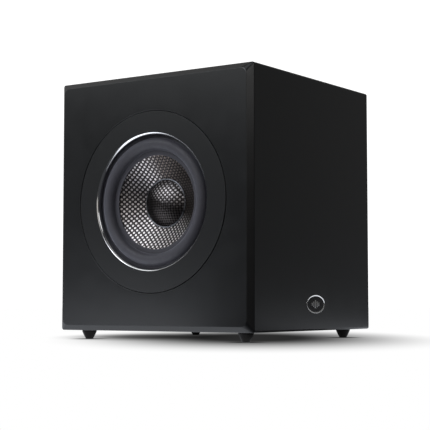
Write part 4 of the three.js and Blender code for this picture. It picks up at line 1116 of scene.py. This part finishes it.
def frame_screws(prefix, side):
    """Four screws through the frame of a round unit."""
    head, shank, length = 3.4, 1.8, 13.5
    for index, degrees in enumerate((45, 135, 225, 315)):
        turn = math.radians(degrees)
        x, z = SCREW_CIRCLE * math.cos(turn), CENTRE_Z + SCREW_CIRCLE * math.sin(turn)

        def place(radius, height, angle, x=x, z=z):
            depth = FRAME_FRONT - height
            return x + radius * math.cos(angle), side * (HALF_Y - depth), z + radius * math.sin(angle)

        pan_screw(f"{prefix}_screw_{index + 1}", place, head, shank, length)


def motor():
    """The steel and ferrite rings and the yoke with its vented pole."""
    plain_ring("top_plate", 29.3, STEEL, "motor_steel")
    plain_ring("magnet", 33.0, FERRITE, "ferrite", edge=1.5)
    front, back = depths_of("yoke")
    outer, pole, vent, plate = radius_of("yoke"), 25.7, 8.0, back - 9
    profile = rounded([
        (vent, front, 1.5), (pole, front, 1.0), (pole, plate, 0.3), (outer, plate, 0.8), (outer, back, 1.2),
        (vent, back, 1.5),
    ], 0.5, 4)
    settle(turned("yoke_turning", profile, unit(DRIVER_SIDE), STEEL), CABINET, "motor_steel", "yoke")


def driver():
    """The driver, from its cover ring to its motor and terminal."""
    cover_ring("driver_cover_ring", DRIVER_SIDE, "driver_trim_ring")
    bezel("driver_bezel_ring", DRIVER_SIDE, "driver_bezel")
    surround("driver_surround_rubber", DRIVER_SIDE, "driver_surround")
    driver_cone()
    dust_cap()
    coil()
    spider()
    tinsel_lead()
    basket()
    motor()
    terminal()
    frame_screws("driver", DRIVER_SIDE)


def radiator_dish():
    """The woven dish, flat in the middle."""
    front = rounded([
        (CONE_RIM, CONE_DEPTH, 0), (DISH_RADIUS, DISH_DEPTH, 6), (0, DISH_DEPTH, 0), (0, DISH_DEPTH + 30, 0),
    ], 0, 10)[:-1]
    back = [(0, DISH_DEPTH + CONE_THICKNESS), (DISH_RADIUS, DISH_DEPTH + CONE_THICKNESS),
            (CONE_RIM, CONE_DEPTH + CONE_THICKNESS)]
    dish = woven_skin("radiator_dish_weave", RADIATOR_SIDE, front, back)
    settle(dish, RADIATOR_BODY, "woven_glass", "radiator_cone")


def radiator_weight():
    """The tuning weight, with a turned groove, and its nut."""
    front, back = depths_of("radiator_mass")
    radius, nut, washer, groove = radius_of("radiator_mass"), 6.0, front + 8, 0.4
    profile = rounded([
        (0, front, 0), (radius, front), (radius, front + 4, groove), (radius - groove, front + 4.2),
        (radius, front + 4.4), (radius, washer), (nut, washer), (nut, back), (0, back, 0),
    ], 0.4, 3)
    mass = turned("radiator_weight", profile, unit(RADIATOR_SIDE), STEEL, 96)
    settle(mass, RADIATOR_BODY, "motor_steel", "radiator_mass")


def radiator_frame():
    """The shallow cast frame."""
    back, ledge_back = 30, FRAME_BACK + 1
    piece = turned("radiator_frame_casting", flange_profile([
        (THROAT, back, 1), (FRAME_WALL, back, 1), (FRAME_WALL, ledge_back, 1), (LEDGE_RADIUS, ledge_back),
    ]), unit(RADIATOR_SIDE), CAST)
    settle(piece, CABINET, "cast_alloy", "radiator_frame")


def radiator():
    """The passive radiator, with the same rings and surround as the driver."""
    cover_ring("radiator_cover_ring", RADIATOR_SIDE, "radiator_trim_ring")
    bezel("radiator_bezel_ring", RADIATOR_SIDE, "radiator_bezel")
    surround("radiator_surround_rubber", RADIATOR_SIDE, "radiator_surround")
    radiator_dish()
    radiator_weight()
    radiator_frame()
    frame_screws("radiator", RADIATOR_SIDE)


# ---------------------------------------------------------------- amplifier

KNOBS = ("level_knob", "crossover_knob")
LEVER_DROPS = {"phase_switch": 2.0, "mode_switch": 0.0}
LEVER_STOPS = {"phase_switch": (-1, 1), "mode_switch": (-1, 0, 1)}
JACKS = ("input_jack_left", "input_jack_right")
AMP_SCREWS = [f"amp_screw_{index + 1}" for index in range(6)]
BORE_RADII = {**dict.fromkeys(KNOBS, 3.6), **dict.fromkeys(JACKS, 4.5), "status_light": 2.0}
SCREW_BORE = 2.0
LEVER_SLOT = (4.4, 9.4)
INLET_OPENING = (59.8, 27.8)
AMP_CORNER = 6.0

BOARD_LOW, BOARD_HIGH = box_mm("circuit_board")
BOARD_X = AMP_IN_X + 14.0
BOARD_THICKNESS = 1.6
BOARD_BACK = BOARD_X + BOARD_THICKNESS
BOARD_HALF = 59
POST_SPREAD = 54
POST_RADIUS = 3.0
HAIRLINE = 0.5

KNOB_GAP = 0.8
KNOB_SHAFT = 3.0
FLUTES = 24
FLUTE_DEPTH = 0.35

INLET_LOW, INLET_HIGH = box_mm("power_inlet")
INLET_Z = (INLET_LOW[2] + INLET_HIGH[2]) / 2
SOCKET_Y = -14.0
BLADE_SPOTS = ((-7, -1.5), (0, 2.5), (7, -1.5))
ROCKER_Y = middle_of("power_rocker")[1]
ROCKER_TILT = math.radians(9)
ROCKER_POCKET = (13.0, 20.6)
ROCKER_WIDTH = 11.8


def panel_spot(node):
    """Where a node sits on the panel: Y and Z of its middle."""
    return middle_of(node)[1:]


def lever_spots():
    """Y and Z of the middle of each lever's travel."""
    spots = {node: panel_spot(node) for node in LEVER_DROPS}
    return {node: (y, z + LEVER_DROPS[node]) for node, (y, z) in spots.items()}


def hole_x(y, z, radius, low, high, look, sides=48):
    """A round cutter along X."""
    outline = [(y + a, z + b) for a, b in arc((0, 0), radius, 0, 360, sides)[:-1]]
    return prism("hole", outline, along_x, low, high, look)


def slot_x(y, z, width, height, low, high, look, corner=0.6):
    """A rectangular cutter along X with round corners."""
    outline = rectangle(y - width / 2, y + width / 2, z - height / 2, z + height / 2, corner)
    return prism("slot", outline, along_x, low, high, look)


def amp_plate():
    """The powder-coated plate with its cut-outs and the posts that carry the board."""
    outline = rectangle(AMP_LOW[1], AMP_HIGH[1], AMP_LOW[2], AMP_HIGH[2], AMP_CORNER, 10)
    plate = prism("amp_plate_sheet", outline, along_x, AMP_OUT_X, AMP_IN_X, PANEL)
    reach = (AMP_OUT_X - 1, AMP_IN_X + 1, PANEL)
    openings = [slot_x(0, INLET_Z, *INLET_OPENING, *reach)]
    openings += [hole_x(*panel_spot(node), radius, *reach) for node, radius in BORE_RADII.items()]
    openings += [slot_x(*spot, *LEVER_SLOT, *reach) for spot in lever_spots().values()]
    openings += [hole_x(*panel_spot(node), SCREW_BORE, *reach, 24) for node in AMP_SCREWS]
    carve(plate, *openings)
    soften(plate, 0.3, 2)
    spots = [(y, z) for y in (-POST_SPREAD, POST_SPREAD) for z in (BOARD_LOW[2] + 6, BOARD_HIGH[2] - 8)]
    posts = [hole_x(*spot, POST_RADIUS, AMP_IN_X - 0.2, BOARD_X - 0.1, PANEL, 6) for spot in spots]
    piece = gathered("amp_plate_panel", [plate, *posts])
    return settle(piece, CABINET, "panel_black", "amp_plate")


def print_bar(y, z, width, height, turn=0.0):
    """One printed bar on the plate, turned about its own middle."""
    proud, sunk = 0.05, 0.02
    c, s = math.cos(turn), math.sin(turn)
    corners = [(a * width / 2, b * height / 2) for a, b in ((-1, -1), (1, -1), (1, 1), (-1, 1))]
    outline = [(y + a * c - b * s, z + a * s + b * c) for a, b in corners]
    return prism("bar", outline, along_x, AMP_OUT_X - proud, AMP_OUT_X + sunk, PRINT)


def knob_ticks(y, z):
    """Ticks round a knob, longer at both ends and in the middle."""
    ticks, sweep, reach, short, long = 11, math.radians(150), 13.0, 1.8, 3.0
    bars = []
    for index in range(ticks):
        turn = -sweep + 2 * sweep * index / (ticks - 1)
        length = long if index in (0, ticks // 2, ticks - 1) else short
        spot = reach + length / 2
        bars.append(print_bar(y + spot * math.sin(turn), z + spot * math.cos(turn), HAIRLINE, length, -turn))
    return bars


def printed_marks():
    """Plain ticks round the knobs and bars beside the switches, sockets and inlet."""
    bars = [bar for node in KNOBS for bar in knob_ticks(*panel_spot(node))]
    for node, (y, z) in lever_spots().items():
        bars += [print_bar(y + 6.5, z + 3.2 * stop, 3.0, HAIRLINE) for stop in LEVER_STOPS[node]]
    for node in JACKS:
        y, z = panel_spot(node)
        bars.append(print_bar(y, z - 10.5, 6.0, HAIRLINE))
    width = 2 * (AMP_HIGH[1] - 13)
    bars += [print_bar(0, z, width, 0.4) for z in (INLET_HIGH[2] + 8, BOARD_HIGH[2] + 2)]
    piece = gathered("panel_print", bars)
    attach(piece, CABINET)


def knob(node):
    """A fluted knob with a soft crown and an inlaid pointer."""
    y, z = panel_spot(node)
    low, high = box_mm(node)
    radius, top, shaft_end = (high[1] - low[1]) / 2, AMP_OUT_X - low[0], AMP_OUT_X - high[0]
    profile = rounded([
        (0, top, 0), (radius - 1.0, top, 1.2), (radius, KNOB_GAP + 1.2, 0.5), (radius, KNOB_GAP, 0.3),
        (KNOB_SHAFT, KNOB_GAP, 0.1), (KNOB_SHAFT, shaft_end, 0.4), (0, shaft_end, 0),
    ], 0.3, 5)
    place, fluted_from = outward(y, z, AMP_OUT_X), radius - 1.6
    angles = [2 * math.pi * index / 240 for index in range(240)]
    flutes = [FLUTE_DEPTH * (0.5 - 0.5 * math.cos(FLUTES * angle)) ** 2 for angle in angles]
    loops = [
        [place(r - flute if r > fluted_from else r, h, angle) for angle, flute in zip(angles, flutes)]
        for r, h in profile
    ]
    body = loft(node + "_cap", loops, CONTROL, True, 50)
    settle(body, node + "_body", "control_plastic", node)
    near = (AMP_OUT_X - top - 0.12, y - HAIRLINE, z + 1.8)
    far = (AMP_OUT_X - top + 0.3, y + HAIRLINE, z + radius - 1.4)
    pointer = block(node + "_pointer", near, far, PRINT, 0.1, 2)
    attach(even_normals(pointer), node + "_body")


def lever(node, body):
    """A slide lever with three grip ridges."""
    low, high = box_mm(node)
    piece = block(node + "_slider", low, high, CONTROL, 0.35)
    proud, inset, half, pitch = 0.3, 0.4, 0.25, 1.1
    ridges = []
    for index in (-1, 0, 1):
        z = (low[2] + high[2]) / 2 + pitch * index
        near = (low[0] - proud, low[1] + inset, z - half)
        far = (low[0] + proud, high[1] - inset, z + half)
        ridges.append(block("ridge", near, far, CONTROL, 0.1, 2))
    return settle(gathered(node + "_lever", [piece, *ridges]), body, "control_plastic", node)


def jack(node, ring_look):
    """A phono socket: plated barrel, hexagon nut and coloured insulator."""
    y, z = panel_spot(node)
    place = outward(y, z, AMP_OUT_X)
    back = AMP_OUT_X - box_mm(node)[1][0]
    pin, barrel_radius, mouth, inner, nut_radius = 1.1, 4.1, 8.6, 3.4, 6.3
    barrel = turned("barrel", rounded([
        (0, back), (pin, back), (pin, -8), (barrel_radius, -8), (barrel_radius, mouth, 0.4),
        (inner, mouth, 0.3), (inner, 1.0, 0.1), (2.8, 0.6, 0.1), (0, 0.6, 0),
    ], 0.1, 3), place, NICKEL, 48)
    insulator = turned("insulator", rounded([
        (1.8, 7.6), (3.3, 7.6), (3.3, 0.8), (1.8, 0.8),
    ], 0.2, 3), place, ring_look, 48)
    corners = np.linspace(0, 2 * math.pi, 7)[:-1]
    hexagon = [(y + nut_radius * math.cos(a), z + nut_radius * math.sin(a)) for a in corners]
    nut = soften(prism("nut", hexagon, along_x, AMP_OUT_X - 1.8, AMP_OUT_X - 0.15, NICKEL), 0.3, 3)
    return settle(gathered(node + "_socket", [barrel, insulator, nut]), CABINET, "jack_nickel", node)


def status_light():
    """A small domed lens in a collar."""
    place = outward(*panel_spot("status_light"), AMP_OUT_X)
    back = AMP_OUT_X - box_mm("status_light")[1][0]
    lens = turned("status_lens", rounded([
        (0, back), (1.6, back), (1.6, 0.5, 0.4), (1.0, 1.5, 0.6), (0, 1.8, 0),
    ], 0.2, 5), place, LENS, 48)
    collar = turned("status_collar", rounded([
        (1.75, 0.02), (3.0, 0.02), (2.8, 0.6, 0.2), (1.75, 0.8, 0.15),
    ], 0.05, 3), place, CONTROL, 48)
    return settle(gathered("status_light_lens", [lens, collar]), CABINET, "light_lens", "status_light")


def inlet_housing():
    """The flanged housing with its keyed socket and the rocker's pocket."""
    low, high, inset = INLET_LOW, INLET_HIGH, 2.0
    flange_outline = rectangle(low[1], high[1], low[2], high[2], 2.5)
    flange = prism("inlet_flange", flange_outline, along_x, low[0], AMP_OUT_X - 0.2, CONTROL)
    body_outline = rectangle(low[1] + inset, high[1] - inset, low[2] + inset, high[2] - inset, 1.0)
    body = prism("inlet_body", body_outline, along_x, AMP_OUT_X - 1, high[0], CONTROL)
    carve(flange, body, operation="UNION")
    wide, narrow, tall, key = 12, 7.5, 8.5, 4
    keyed = rounded([
        (SOCKET_Y - wide, INLET_Z - tall), (SOCKET_Y + wide, INLET_Z - tall),
        (SOCKET_Y + wide, INLET_Z + key), (SOCKET_Y + narrow, INLET_Z + tall),
        (SOCKET_Y - narrow, INLET_Z + tall), (SOCKET_Y - wide, INLET_Z + key),
    ], 1.2, 4)
    pocket = slot_x(ROCKER_Y, INLET_Z, *ROCKER_POCKET, low[0] - 1, AMP_IN_X + 12, CONTROL)
    carve(flange, prism("keyed", keyed, along_x, low[0] - 1, high[0] - 2, CONTROL), pocket)
    return soften(flange, 0.35, 3)


def power_inlet():
    """The mains inlet: its housing and three blades in the socket."""
    housing = inlet_housing()
    half_y, half_z, setback, root = 1, 2.2, 2, 1.8
    blades = []
    for y, z in BLADE_SPOTS:
        near = (AMP_OUT_X + setback, SOCKET_Y + y - half_y, INLET_Z + z - half_z)
        far = (INLET_HIGH[0] - root, SOCKET_Y + y + half_y, INLET_Z + z + half_z)
        blades.append(block("blade", near, far, TIN, 0.5))
    piece = gathered("power_inlet_housing", [housing, *blades])
    return settle(piece, CABINET, "control_plastic", "power_inlet")


def power_rocker():
    """The rocker: two hollowed faces that meet at the pivot line, over a rounded hub."""
    half, waist, hollow, steps = 9.0, 6.2, 0.9, 12
    lift = half * math.tan(ROCKER_TILT)
    face = []
    for index in range(steps + 1):
        share = index / steps
        dip = hollow * math.sin(math.pi * share)
        face.append((half - half * share, waist + lift * (1 - share) - dip * (1 - share), 0))
    left = [(-a, b, 0) for a, b, _ in reversed(face)][1:]
    taper, hub = 0.4, 5.5
    outline = rounded([*face, *left, (-half + taper, -2, 1.0), (0, -hub, 2.0), (half - taper, -2, 1.0)], 0, 4)
    c, s = math.cos(ROCKER_TILT), -math.sin(ROCKER_TILT)

    def place(a, b, level):
        out, up = b, -a
        return AMP_IN_X - (out * c - up * s), ROCKER_Y + level, INLET_Z + (out * s + up * c)

    piece = prism("power_rocker_paddle", outline, place, -ROCKER_WIDTH / 2, ROCKER_WIDTH / 2, CONTROL)
    soften(piece, 0.4, 3, 50)
    return settle(piece, "power_rocker_body", "control_plastic", "power_rocker")


def front_block(name, y, z, half_y, half_z, depth, look, edge, segments=3):
    """A block that stands out of the board's front by a depth."""
    near = (BOARD_X - depth, y - half_y, z - half_z)
    return block(name, near, (BOARD_X, y + half_y, z + half_z), look, edge, segments)


def board_controls():
    """The bodies of the potentiometers and slide switches."""
    parts = []
    for node in KNOBS:
        y, z = panel_spot(node)
        body = front_block("pot", y, z, 8, 8, 11, CONTROL, 0.8)
        parts.append(carve(body, hole_x(y, z, 3.5, BOARD_X - 12, BOARD_X - 4, CONTROL)))
    return parts + [front_block("switch", y, z, 4.5, 8, 9, TIN, 0.6) for y, z in lever_spots().values()]


def board_chip():
    """A chip with eight pins on each long side."""
    z = panel_spot("mode_switch")[1] + 22
    pins, pitch, first = 8, 2.5, -8.75
    parts = [front_block("chip", 0, z, 10, 6, 3, CONTROL, 0.3)]
    for side in (-1, 1):
        for index in range(pins):
            y = first + pitch * index
            parts.append(front_block("pin", y, z + side * 6.6, 0.4, 0.7, 1.2, TIN, 0.1, 1))
    return parts


def board_capacitors():
    """Four sleeved cans on the back of the board, each with a crimp near its foot."""
    radius, waist, rim, height, crown = 7.3, 6.9, 6.0, 24.2, 23.8
    sleeve = rounded([
        (0, 0, 0), (radius, 0, 0.6), (radius, -1.6, 0.4), (waist, -2.2, 0.4), (radius, -2.8, 0.4),
        (radius, -height, 0.9), (rim, -height, 0.2), (5.9, -crown, 0.2), (0, -crown, 0),
    ], 0.2, 3)
    z = BOARD_LOW[2] + 18
    return [turned("can", sleeve, outward(y, z, BOARD_BACK), CAP_SLEEVE, 48) for y in (-30, -10, 10, 30)]


def board_small_parts():
    """Rows of small parts on the back of the board, slightly out of line."""
    rows, columns, pitch, stray, half_z, tall = 7, 9, 12, 1.5, 0.8, 1.0
    generator = np.random.default_rng(7)
    parts = []
    for row in range(rows):
        for column in range(columns):
            y = -48 + pitch * column + generator.uniform(-stray, stray)
            z = BOARD_LOW[2] + 34 + pitch * row + generator.uniform(-stray, stray)
            wide = generator.uniform(1.6, 3.4)
            look = (CONTROL, TIN, JACK_WHITE)[int(generator.integers(3))]
            near, far = (BOARD_BACK, y - wide, z - half_z), (BOARD_BACK + tall, y + wide, z + half_z)
            parts.append(block("chip_part", near, far, look, 0.15, 1))
    return parts


def circuit_board():
    """The board with potentiometers, switches, a chip, capacitors and small parts."""
    outline = rectangle(-BOARD_HALF, BOARD_HALF, BOARD_LOW[2], BOARD_HIGH[2], 2.0)
    base = prism("board", outline, along_x, BOARD_X, BOARD_BACK, GREEN)
    parts = [base, *board_controls(), *board_chip(), *board_capacitors(), *board_small_parts()]
    return settle(gathered("circuit_board_parts", parts), CABINET, "board_green", "circuit_board")


def transformer():
    """A toroid wrapped in overlapping tape."""
    x, y, _ = middle_of("transformer")
    low, high = box_mm("transformer")
    outer, tall, bore = (high[0] - low[0]) / 2, high[2] - low[2], 10.0
    wraps, lap, lean, segments, split = 36, 0.45, 0.8, 432, 6
    section = rounded([(bore, 0, 5), (outer, 0, 6), (outer, tall, 6), (bore, tall, 5)], 0, 8)
    section = [
        (a[0] + (b[0] - a[0]) * share / split, a[1] + (b[1] - a[1]) * share / split)
        for a, b in zip(section, section[1:] + section[:1]) for share in range(split)
    ]
    centre = ((bore + outer) / 2, tall / 2)
    place = upright(x, y, low[2])
    loops = []
    for index, (r, h) in enumerate(section):
        inward = Vector((centre[0] - r, centre[1] - h)).normalized()
        ring = []
        for step in range(segments):
            angle = 2 * math.pi * step / segments
            turn = wraps * angle / (2 * math.pi) + lean * index / len(section)
            sunk = lap * (turn % 1.0)
            ring.append(place(r + inward.x * sunk, h + inward.y * sunk, angle))
        loops.append(ring)
    piece = loft("transformer_wrap", loops, TAPE, True, 60)
    return settle(piece, CABINET, "winding_tape", "transformer")


def speaker_cable():
    """Two insulated conductors twisted together, from the driver terminal to the board."""
    path = smooth_path([
        (7, 79 - HALF_Y, CENTRE_Z + 70.4), (4, 95 - HALF_Y, CENTRE_Z + 76),
        (-40, 118 - HALF_Y, CENTRE_Z + 92), (-90, -30, CENTRE_Z + 90),
        (-118, -8, CENTRE_Z + 76), (BOARD_BACK + 1.5, 0, CENTRE_Z + 70),
    ], 24)
    radius, lay = 0.98, 22.0
    parts = [
        strand("conductor", path, radius, look, radius, lay, math.pi * index, 12)
        for index, look in enumerate((CABLE, JACK_RED))
    ]
    return settle(gathered("speaker_cable_pair", parts), CABINET, "cable_rubber", "speaker_cable")


def amplifier():
    """The amplifier panel with its controls, and what hangs behind it."""
    amp_plate()
    printed_marks()
    for node in KNOBS:
        knob(node)
    lever("phase_switch", "phase_lever")
    lever("mode_switch", "mode_lever")
    jack("input_jack_left", JACK_WHITE)
    jack("input_jack_right", JACK_RED)
    status_light()
    power_inlet()
    power_rocker()
    circuit_board()
    transformer()
    speaker_cable()
    head, shank, length = 3.2, 1.6, 11.5
    for node in AMP_SCREWS:
        pan_screw(node, outward(*panel_spot(node), AMP_OUT_X), head, shank, length)


cabinet()
driver()
radiator()
amplifier()


# ---------------------------------------------------------------- studio

NEUTRAL = (1.0, 1.0, 1.0)
COOL = (0.94, 0.98, 1.06)
WARM = (1.05, 1.0, 0.95)
PAPER_GLOW = (0.93, 0.97, 1.04)
FACE_Y = -HALF_Y * MM

# The camera's place is given in body heights from the foot of the driver face, its angles in degrees.
CAMERA_OFFSET = (2.937, -3.809, 0.1156)
CAMERA_HEADING = 34.653
CAMERA_RISE = 3.953
CAMERA_LENS = 104.5
CAMERA_SENSOR = 36.0

# Soft ellipses on the floor: middle and half axes across and toward the camera, in metres, then the
# share of the ellipse that is fully dark and how dark it is.
SHADOWS = [
    ((0.047, -0.029), (0.305, 0.600), 0.22, 0.975),
    ((-0.107, -0.077), (0.158, 0.248), 0.16, 0.825),
]

# Soft boxes: direction, angles in degrees where each is full and where it ends, strength and colour.
# The first one covers the whole sky.
SOFT_BOXES = [
    ((0.0, 0.0, 1.0), 180, 181, 0.06, NEUTRAL),
    ((-0.17, -0.77, 0.56), 10, 22, 3.0, COOL),
    ((0.52, -0.85, 0.05), 10, 28, 0.60, WARM),
    ((-0.15, 0.0, 0.98), 20, 58, 0.34, NEUTRAL),
    ((-0.60, -0.79, 0.10), 10, 30, 0.12, NEUTRAL),
    ((-0.84, -0.54, 0.02), 8, 26, 0.14, NEUTRAL),
    ((0.56, 0.82, 0.36), 14, 42, 0.13, NEUTRAL),
    ((0.25, -0.87, 0.42), 5, 18, 0.35, NEUTRAL),
    ((-0.98, 0.12, 0.20), 15, 48, 0.32, NEUTRAL),
    ((-0.35, 0.90, 0.20), 15, 46, 0.32, NEUTRAL),
    ((-0.72, 0.40, 0.58), 15, 40, 0.08, NEUTRAL),
]


def soft_shadow(look, middle, reach, core, depth):
    """The brightness left by one soft ellipse; its axes run across and toward the camera."""
    heading = math.radians(CAMERA_HEADING)
    across = look.vector("DOT_PRODUCT", look.place, (math.cos(heading), math.sin(heading), 0.0))
    toward = look.vector("DOT_PRODUCT", look.place, (math.sin(heading), -math.cos(heading), 0.0))
    spot = look.node("ShaderNodeCombineXYZ", {"X": across, "Y": toward}).outputs["Vector"]
    offset = look.vector("DIVIDE", look.vector("SUBTRACT", spot, (*middle, 0.0)), (*reach, 1.0))
    return look.remap(look.vector("LENGTH", offset), core, 1.0, 1.0 - depth, 1.0)


def foot_shadow(look):
    """A small dark contact shadow round each foot."""
    low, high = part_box("foot_front_right")
    middle = [abs(a + b) / 2 for a, b in zip(low, high)]
    folded = look.vector("ABSOLUTE", look.place)
    offset = look.vector("MULTIPLY", look.vector("SUBTRACT", folded, middle), (1.0, 1.0, 0.0))
    return look.remap(look.vector("LENGTH", offset), 0.008, 0.036, 0.12, 1.0)


def side_of(look, start, direction):
    """How far the floor reaches past a line through a start, in metres."""
    offset = look.vector("SUBTRACT", look.place, (*start, 0.0))
    return look.vector("DOT_PRODUCT", offset, (*direction, 0.0))


def product(look, first, *others):
    """Several brightnesses multiplied together."""
    for other in others:
        first = look.math("MULTIPLY", first, other)
    return first


def left_pool(look, y, distance):
    """The bright pool on the left, which the driver face mirrors."""
    return product(
        look,
        look.remap(side_of(look, (0.05, FACE_Y), (0.83, -0.55)), 0.07, -0.01, 0.0, 2.4),
        look.remap(side_of(look, (0.0, FACE_Y), (-0.545, 0.839)), 0.14, -0.02),
        look.remap(y, -0.19, -0.25),
        look.remap(distance, 1.8, 0.5),
    )


def face_strip(look, x, y):
    """A bright strip along the foot of the driver face, which lights its bottom chamfer."""
    from_face = look.math("ABSOLUTE", look.math("ADD", y, -FACE_Y))
    return product(look, look.remap(from_face, 0.06, 0.03, 0.0, 0.95), look.remap(x, 0.165, 0.14))


def right_pool(look, y, distance):
    """The grey pool at the back right, which the badge face mirrors."""
    rightward = look.vector("DOT_PRODUCT", look.place, (0.823, 0.568, 0.0))
    return product(
        look,
        look.remap(rightward, 0.14, 0.28, 0.0, 1.1),
        look.remap(distance, 0.8, 0.34),
        look.remap(y, 0.0, 0.14),
    )


def back_pool(look):
    """A dim pool behind the amplifier and radiator faces."""
    return look.remap(look.vector("DOT_PRODUCT", look.place, (-0.707, 0.707, 0.0)), 0.14, 0.34, 0.0, 0.16)


def floor():
    """A white floor with a soft shadow. Reflections see a dim ground with a few brighter pools."""
    look = Look("studio_floor")
    axes = look.axes()
    distance = look.vector("LENGTH", look.place)
    strip = face_strip(look, axes["X"], axes["Y"])
    pools = look.math("MAXIMUM", strip, right_pool(look, axes["Y"], distance))
    pools = look.math("MAXIMUM", left_pool(look, axes["Y"], distance), pools)
    pools = look.math("MAXIMUM", pools, back_pool(look))
    path = look.node("ShaderNodeLightPath").outputs
    pools = look.math("MULTIPLY", pools, look.math("LESS_THAN", path["Ray Depth"], 1.5))
    glow = look.math("ADD", pools, 0.06)
    ground = look.node("ShaderNodeEmission", {"Color": PAPER_GLOW, "Strength": glow}).outputs[0]
    shade = product(look, *[soft_shadow(look, *ellipse) for ellipse in SHADOWS], foot_shadow(look))
    paper = look.node("ShaderNodeEmission", {"Strength": shade}).outputs[0]
    look.show_camera(path["Is Camera Ray"], paper, ground)
    reach, corners = 9000, 64
    angles = np.linspace(0, 2 * math.pi, corners + 1)[:-1]
    ring = [(reach * math.cos(angle), reach * math.sin(angle), 0) for angle in angles]
    mesh_piece("studio_floor", ring, [tuple(range(corners))], look.material)


def studio_world():
    """White to the camera; for light and reflections, a dim room with broad soft boxes."""
    world = bpy.data.worlds.new("studio")
    bpy.context.scene.world = world
    sky = Tree(world, "ShaderNodeOutputWorld", "Generated")
    total = None
    for axis, inner, outer, strength, colour in SOFT_BOXES:
        facing = sky.vector("DOT_PRODUCT", sky.place, Vector(axis).normalized())
        fade = sky.remap(
            facing, math.cos(math.radians(outer)), math.cos(math.radians(inner)), 0.0, strength,
        )
        scale = sky.node("ShaderNodeVectorMath", {0: colour, "Scale": fade}, operation="SCALE")
        tinted = scale.outputs["Vector"]
        total = tinted if total is None else sky.vector("ADD", total, tinted)
    lit = sky.node("ShaderNodeBackground", {"Color": total}).outputs[0]
    white = sky.node("ShaderNodeBackground", {"Color": NEUTRAL, "Strength": 1.2}).outputs[0]
    sky.show_camera(sky.node("ShaderNodeLightPath").outputs["Is Camera Ray"], white, lit)


def area_light(name, place, aim, size, power, colour=NEUTRAL):
    """A rectangular lamp that the camera doesn't see, aimed at a point."""
    data = bpy.data.lights.new(name, "AREA")
    data.shape = "RECTANGLE"
    data.size, data.size_y = size
    data.energy = power
    data.color = [min(1.0, value) for value in colour]
    light = bpy.data.objects.new(name, data)
    light.location = place
    light.visible_camera = False
    light.rotation_euler = (Vector(aim) - Vector(place)).to_track_quat("-Z", "Y").to_euler()
    bpy.context.scene.collection.objects.link(light)


def camera():
    """Seen from below the middle of the box, from its right-hand front corner."""
    right, ahead, up = [share * (ROOF_Z - FLOOR_Z) * MM for share in CAMERA_OFFSET]
    data = bpy.data.cameras.new("camera")
    data.sensor_width = CAMERA_SENSOR
    data.lens = CAMERA_LENS
    data.clip_start = 0.01
    seen = bpy.data.objects.new("camera", data)
    seen.location = (right, FACE_Y + ahead, FLOOR_Z * MM + up)
    heading, rise = math.radians(CAMERA_HEADING), math.radians(CAMERA_RISE)
    seen.rotation_euler = (math.pi / 2 + rise, 0, heading)
    bpy.context.scene.collection.objects.link(seen)
    bpy.context.scene.camera = seen


floor()
studio_world()
area_light("left_box", (-0.42, -0.80, 0.80), (0.0, -0.165, 0.25), (0.9, 0.6), 2.4, COOL)
area_light("right_box", (0.70, -0.52, 0.62), (0.165, -0.165, 0.30), (0.4, 0.4), 0.7, NEUTRAL)
camera()
bpy.context.scene.view_settings.view_transform = "Standard"
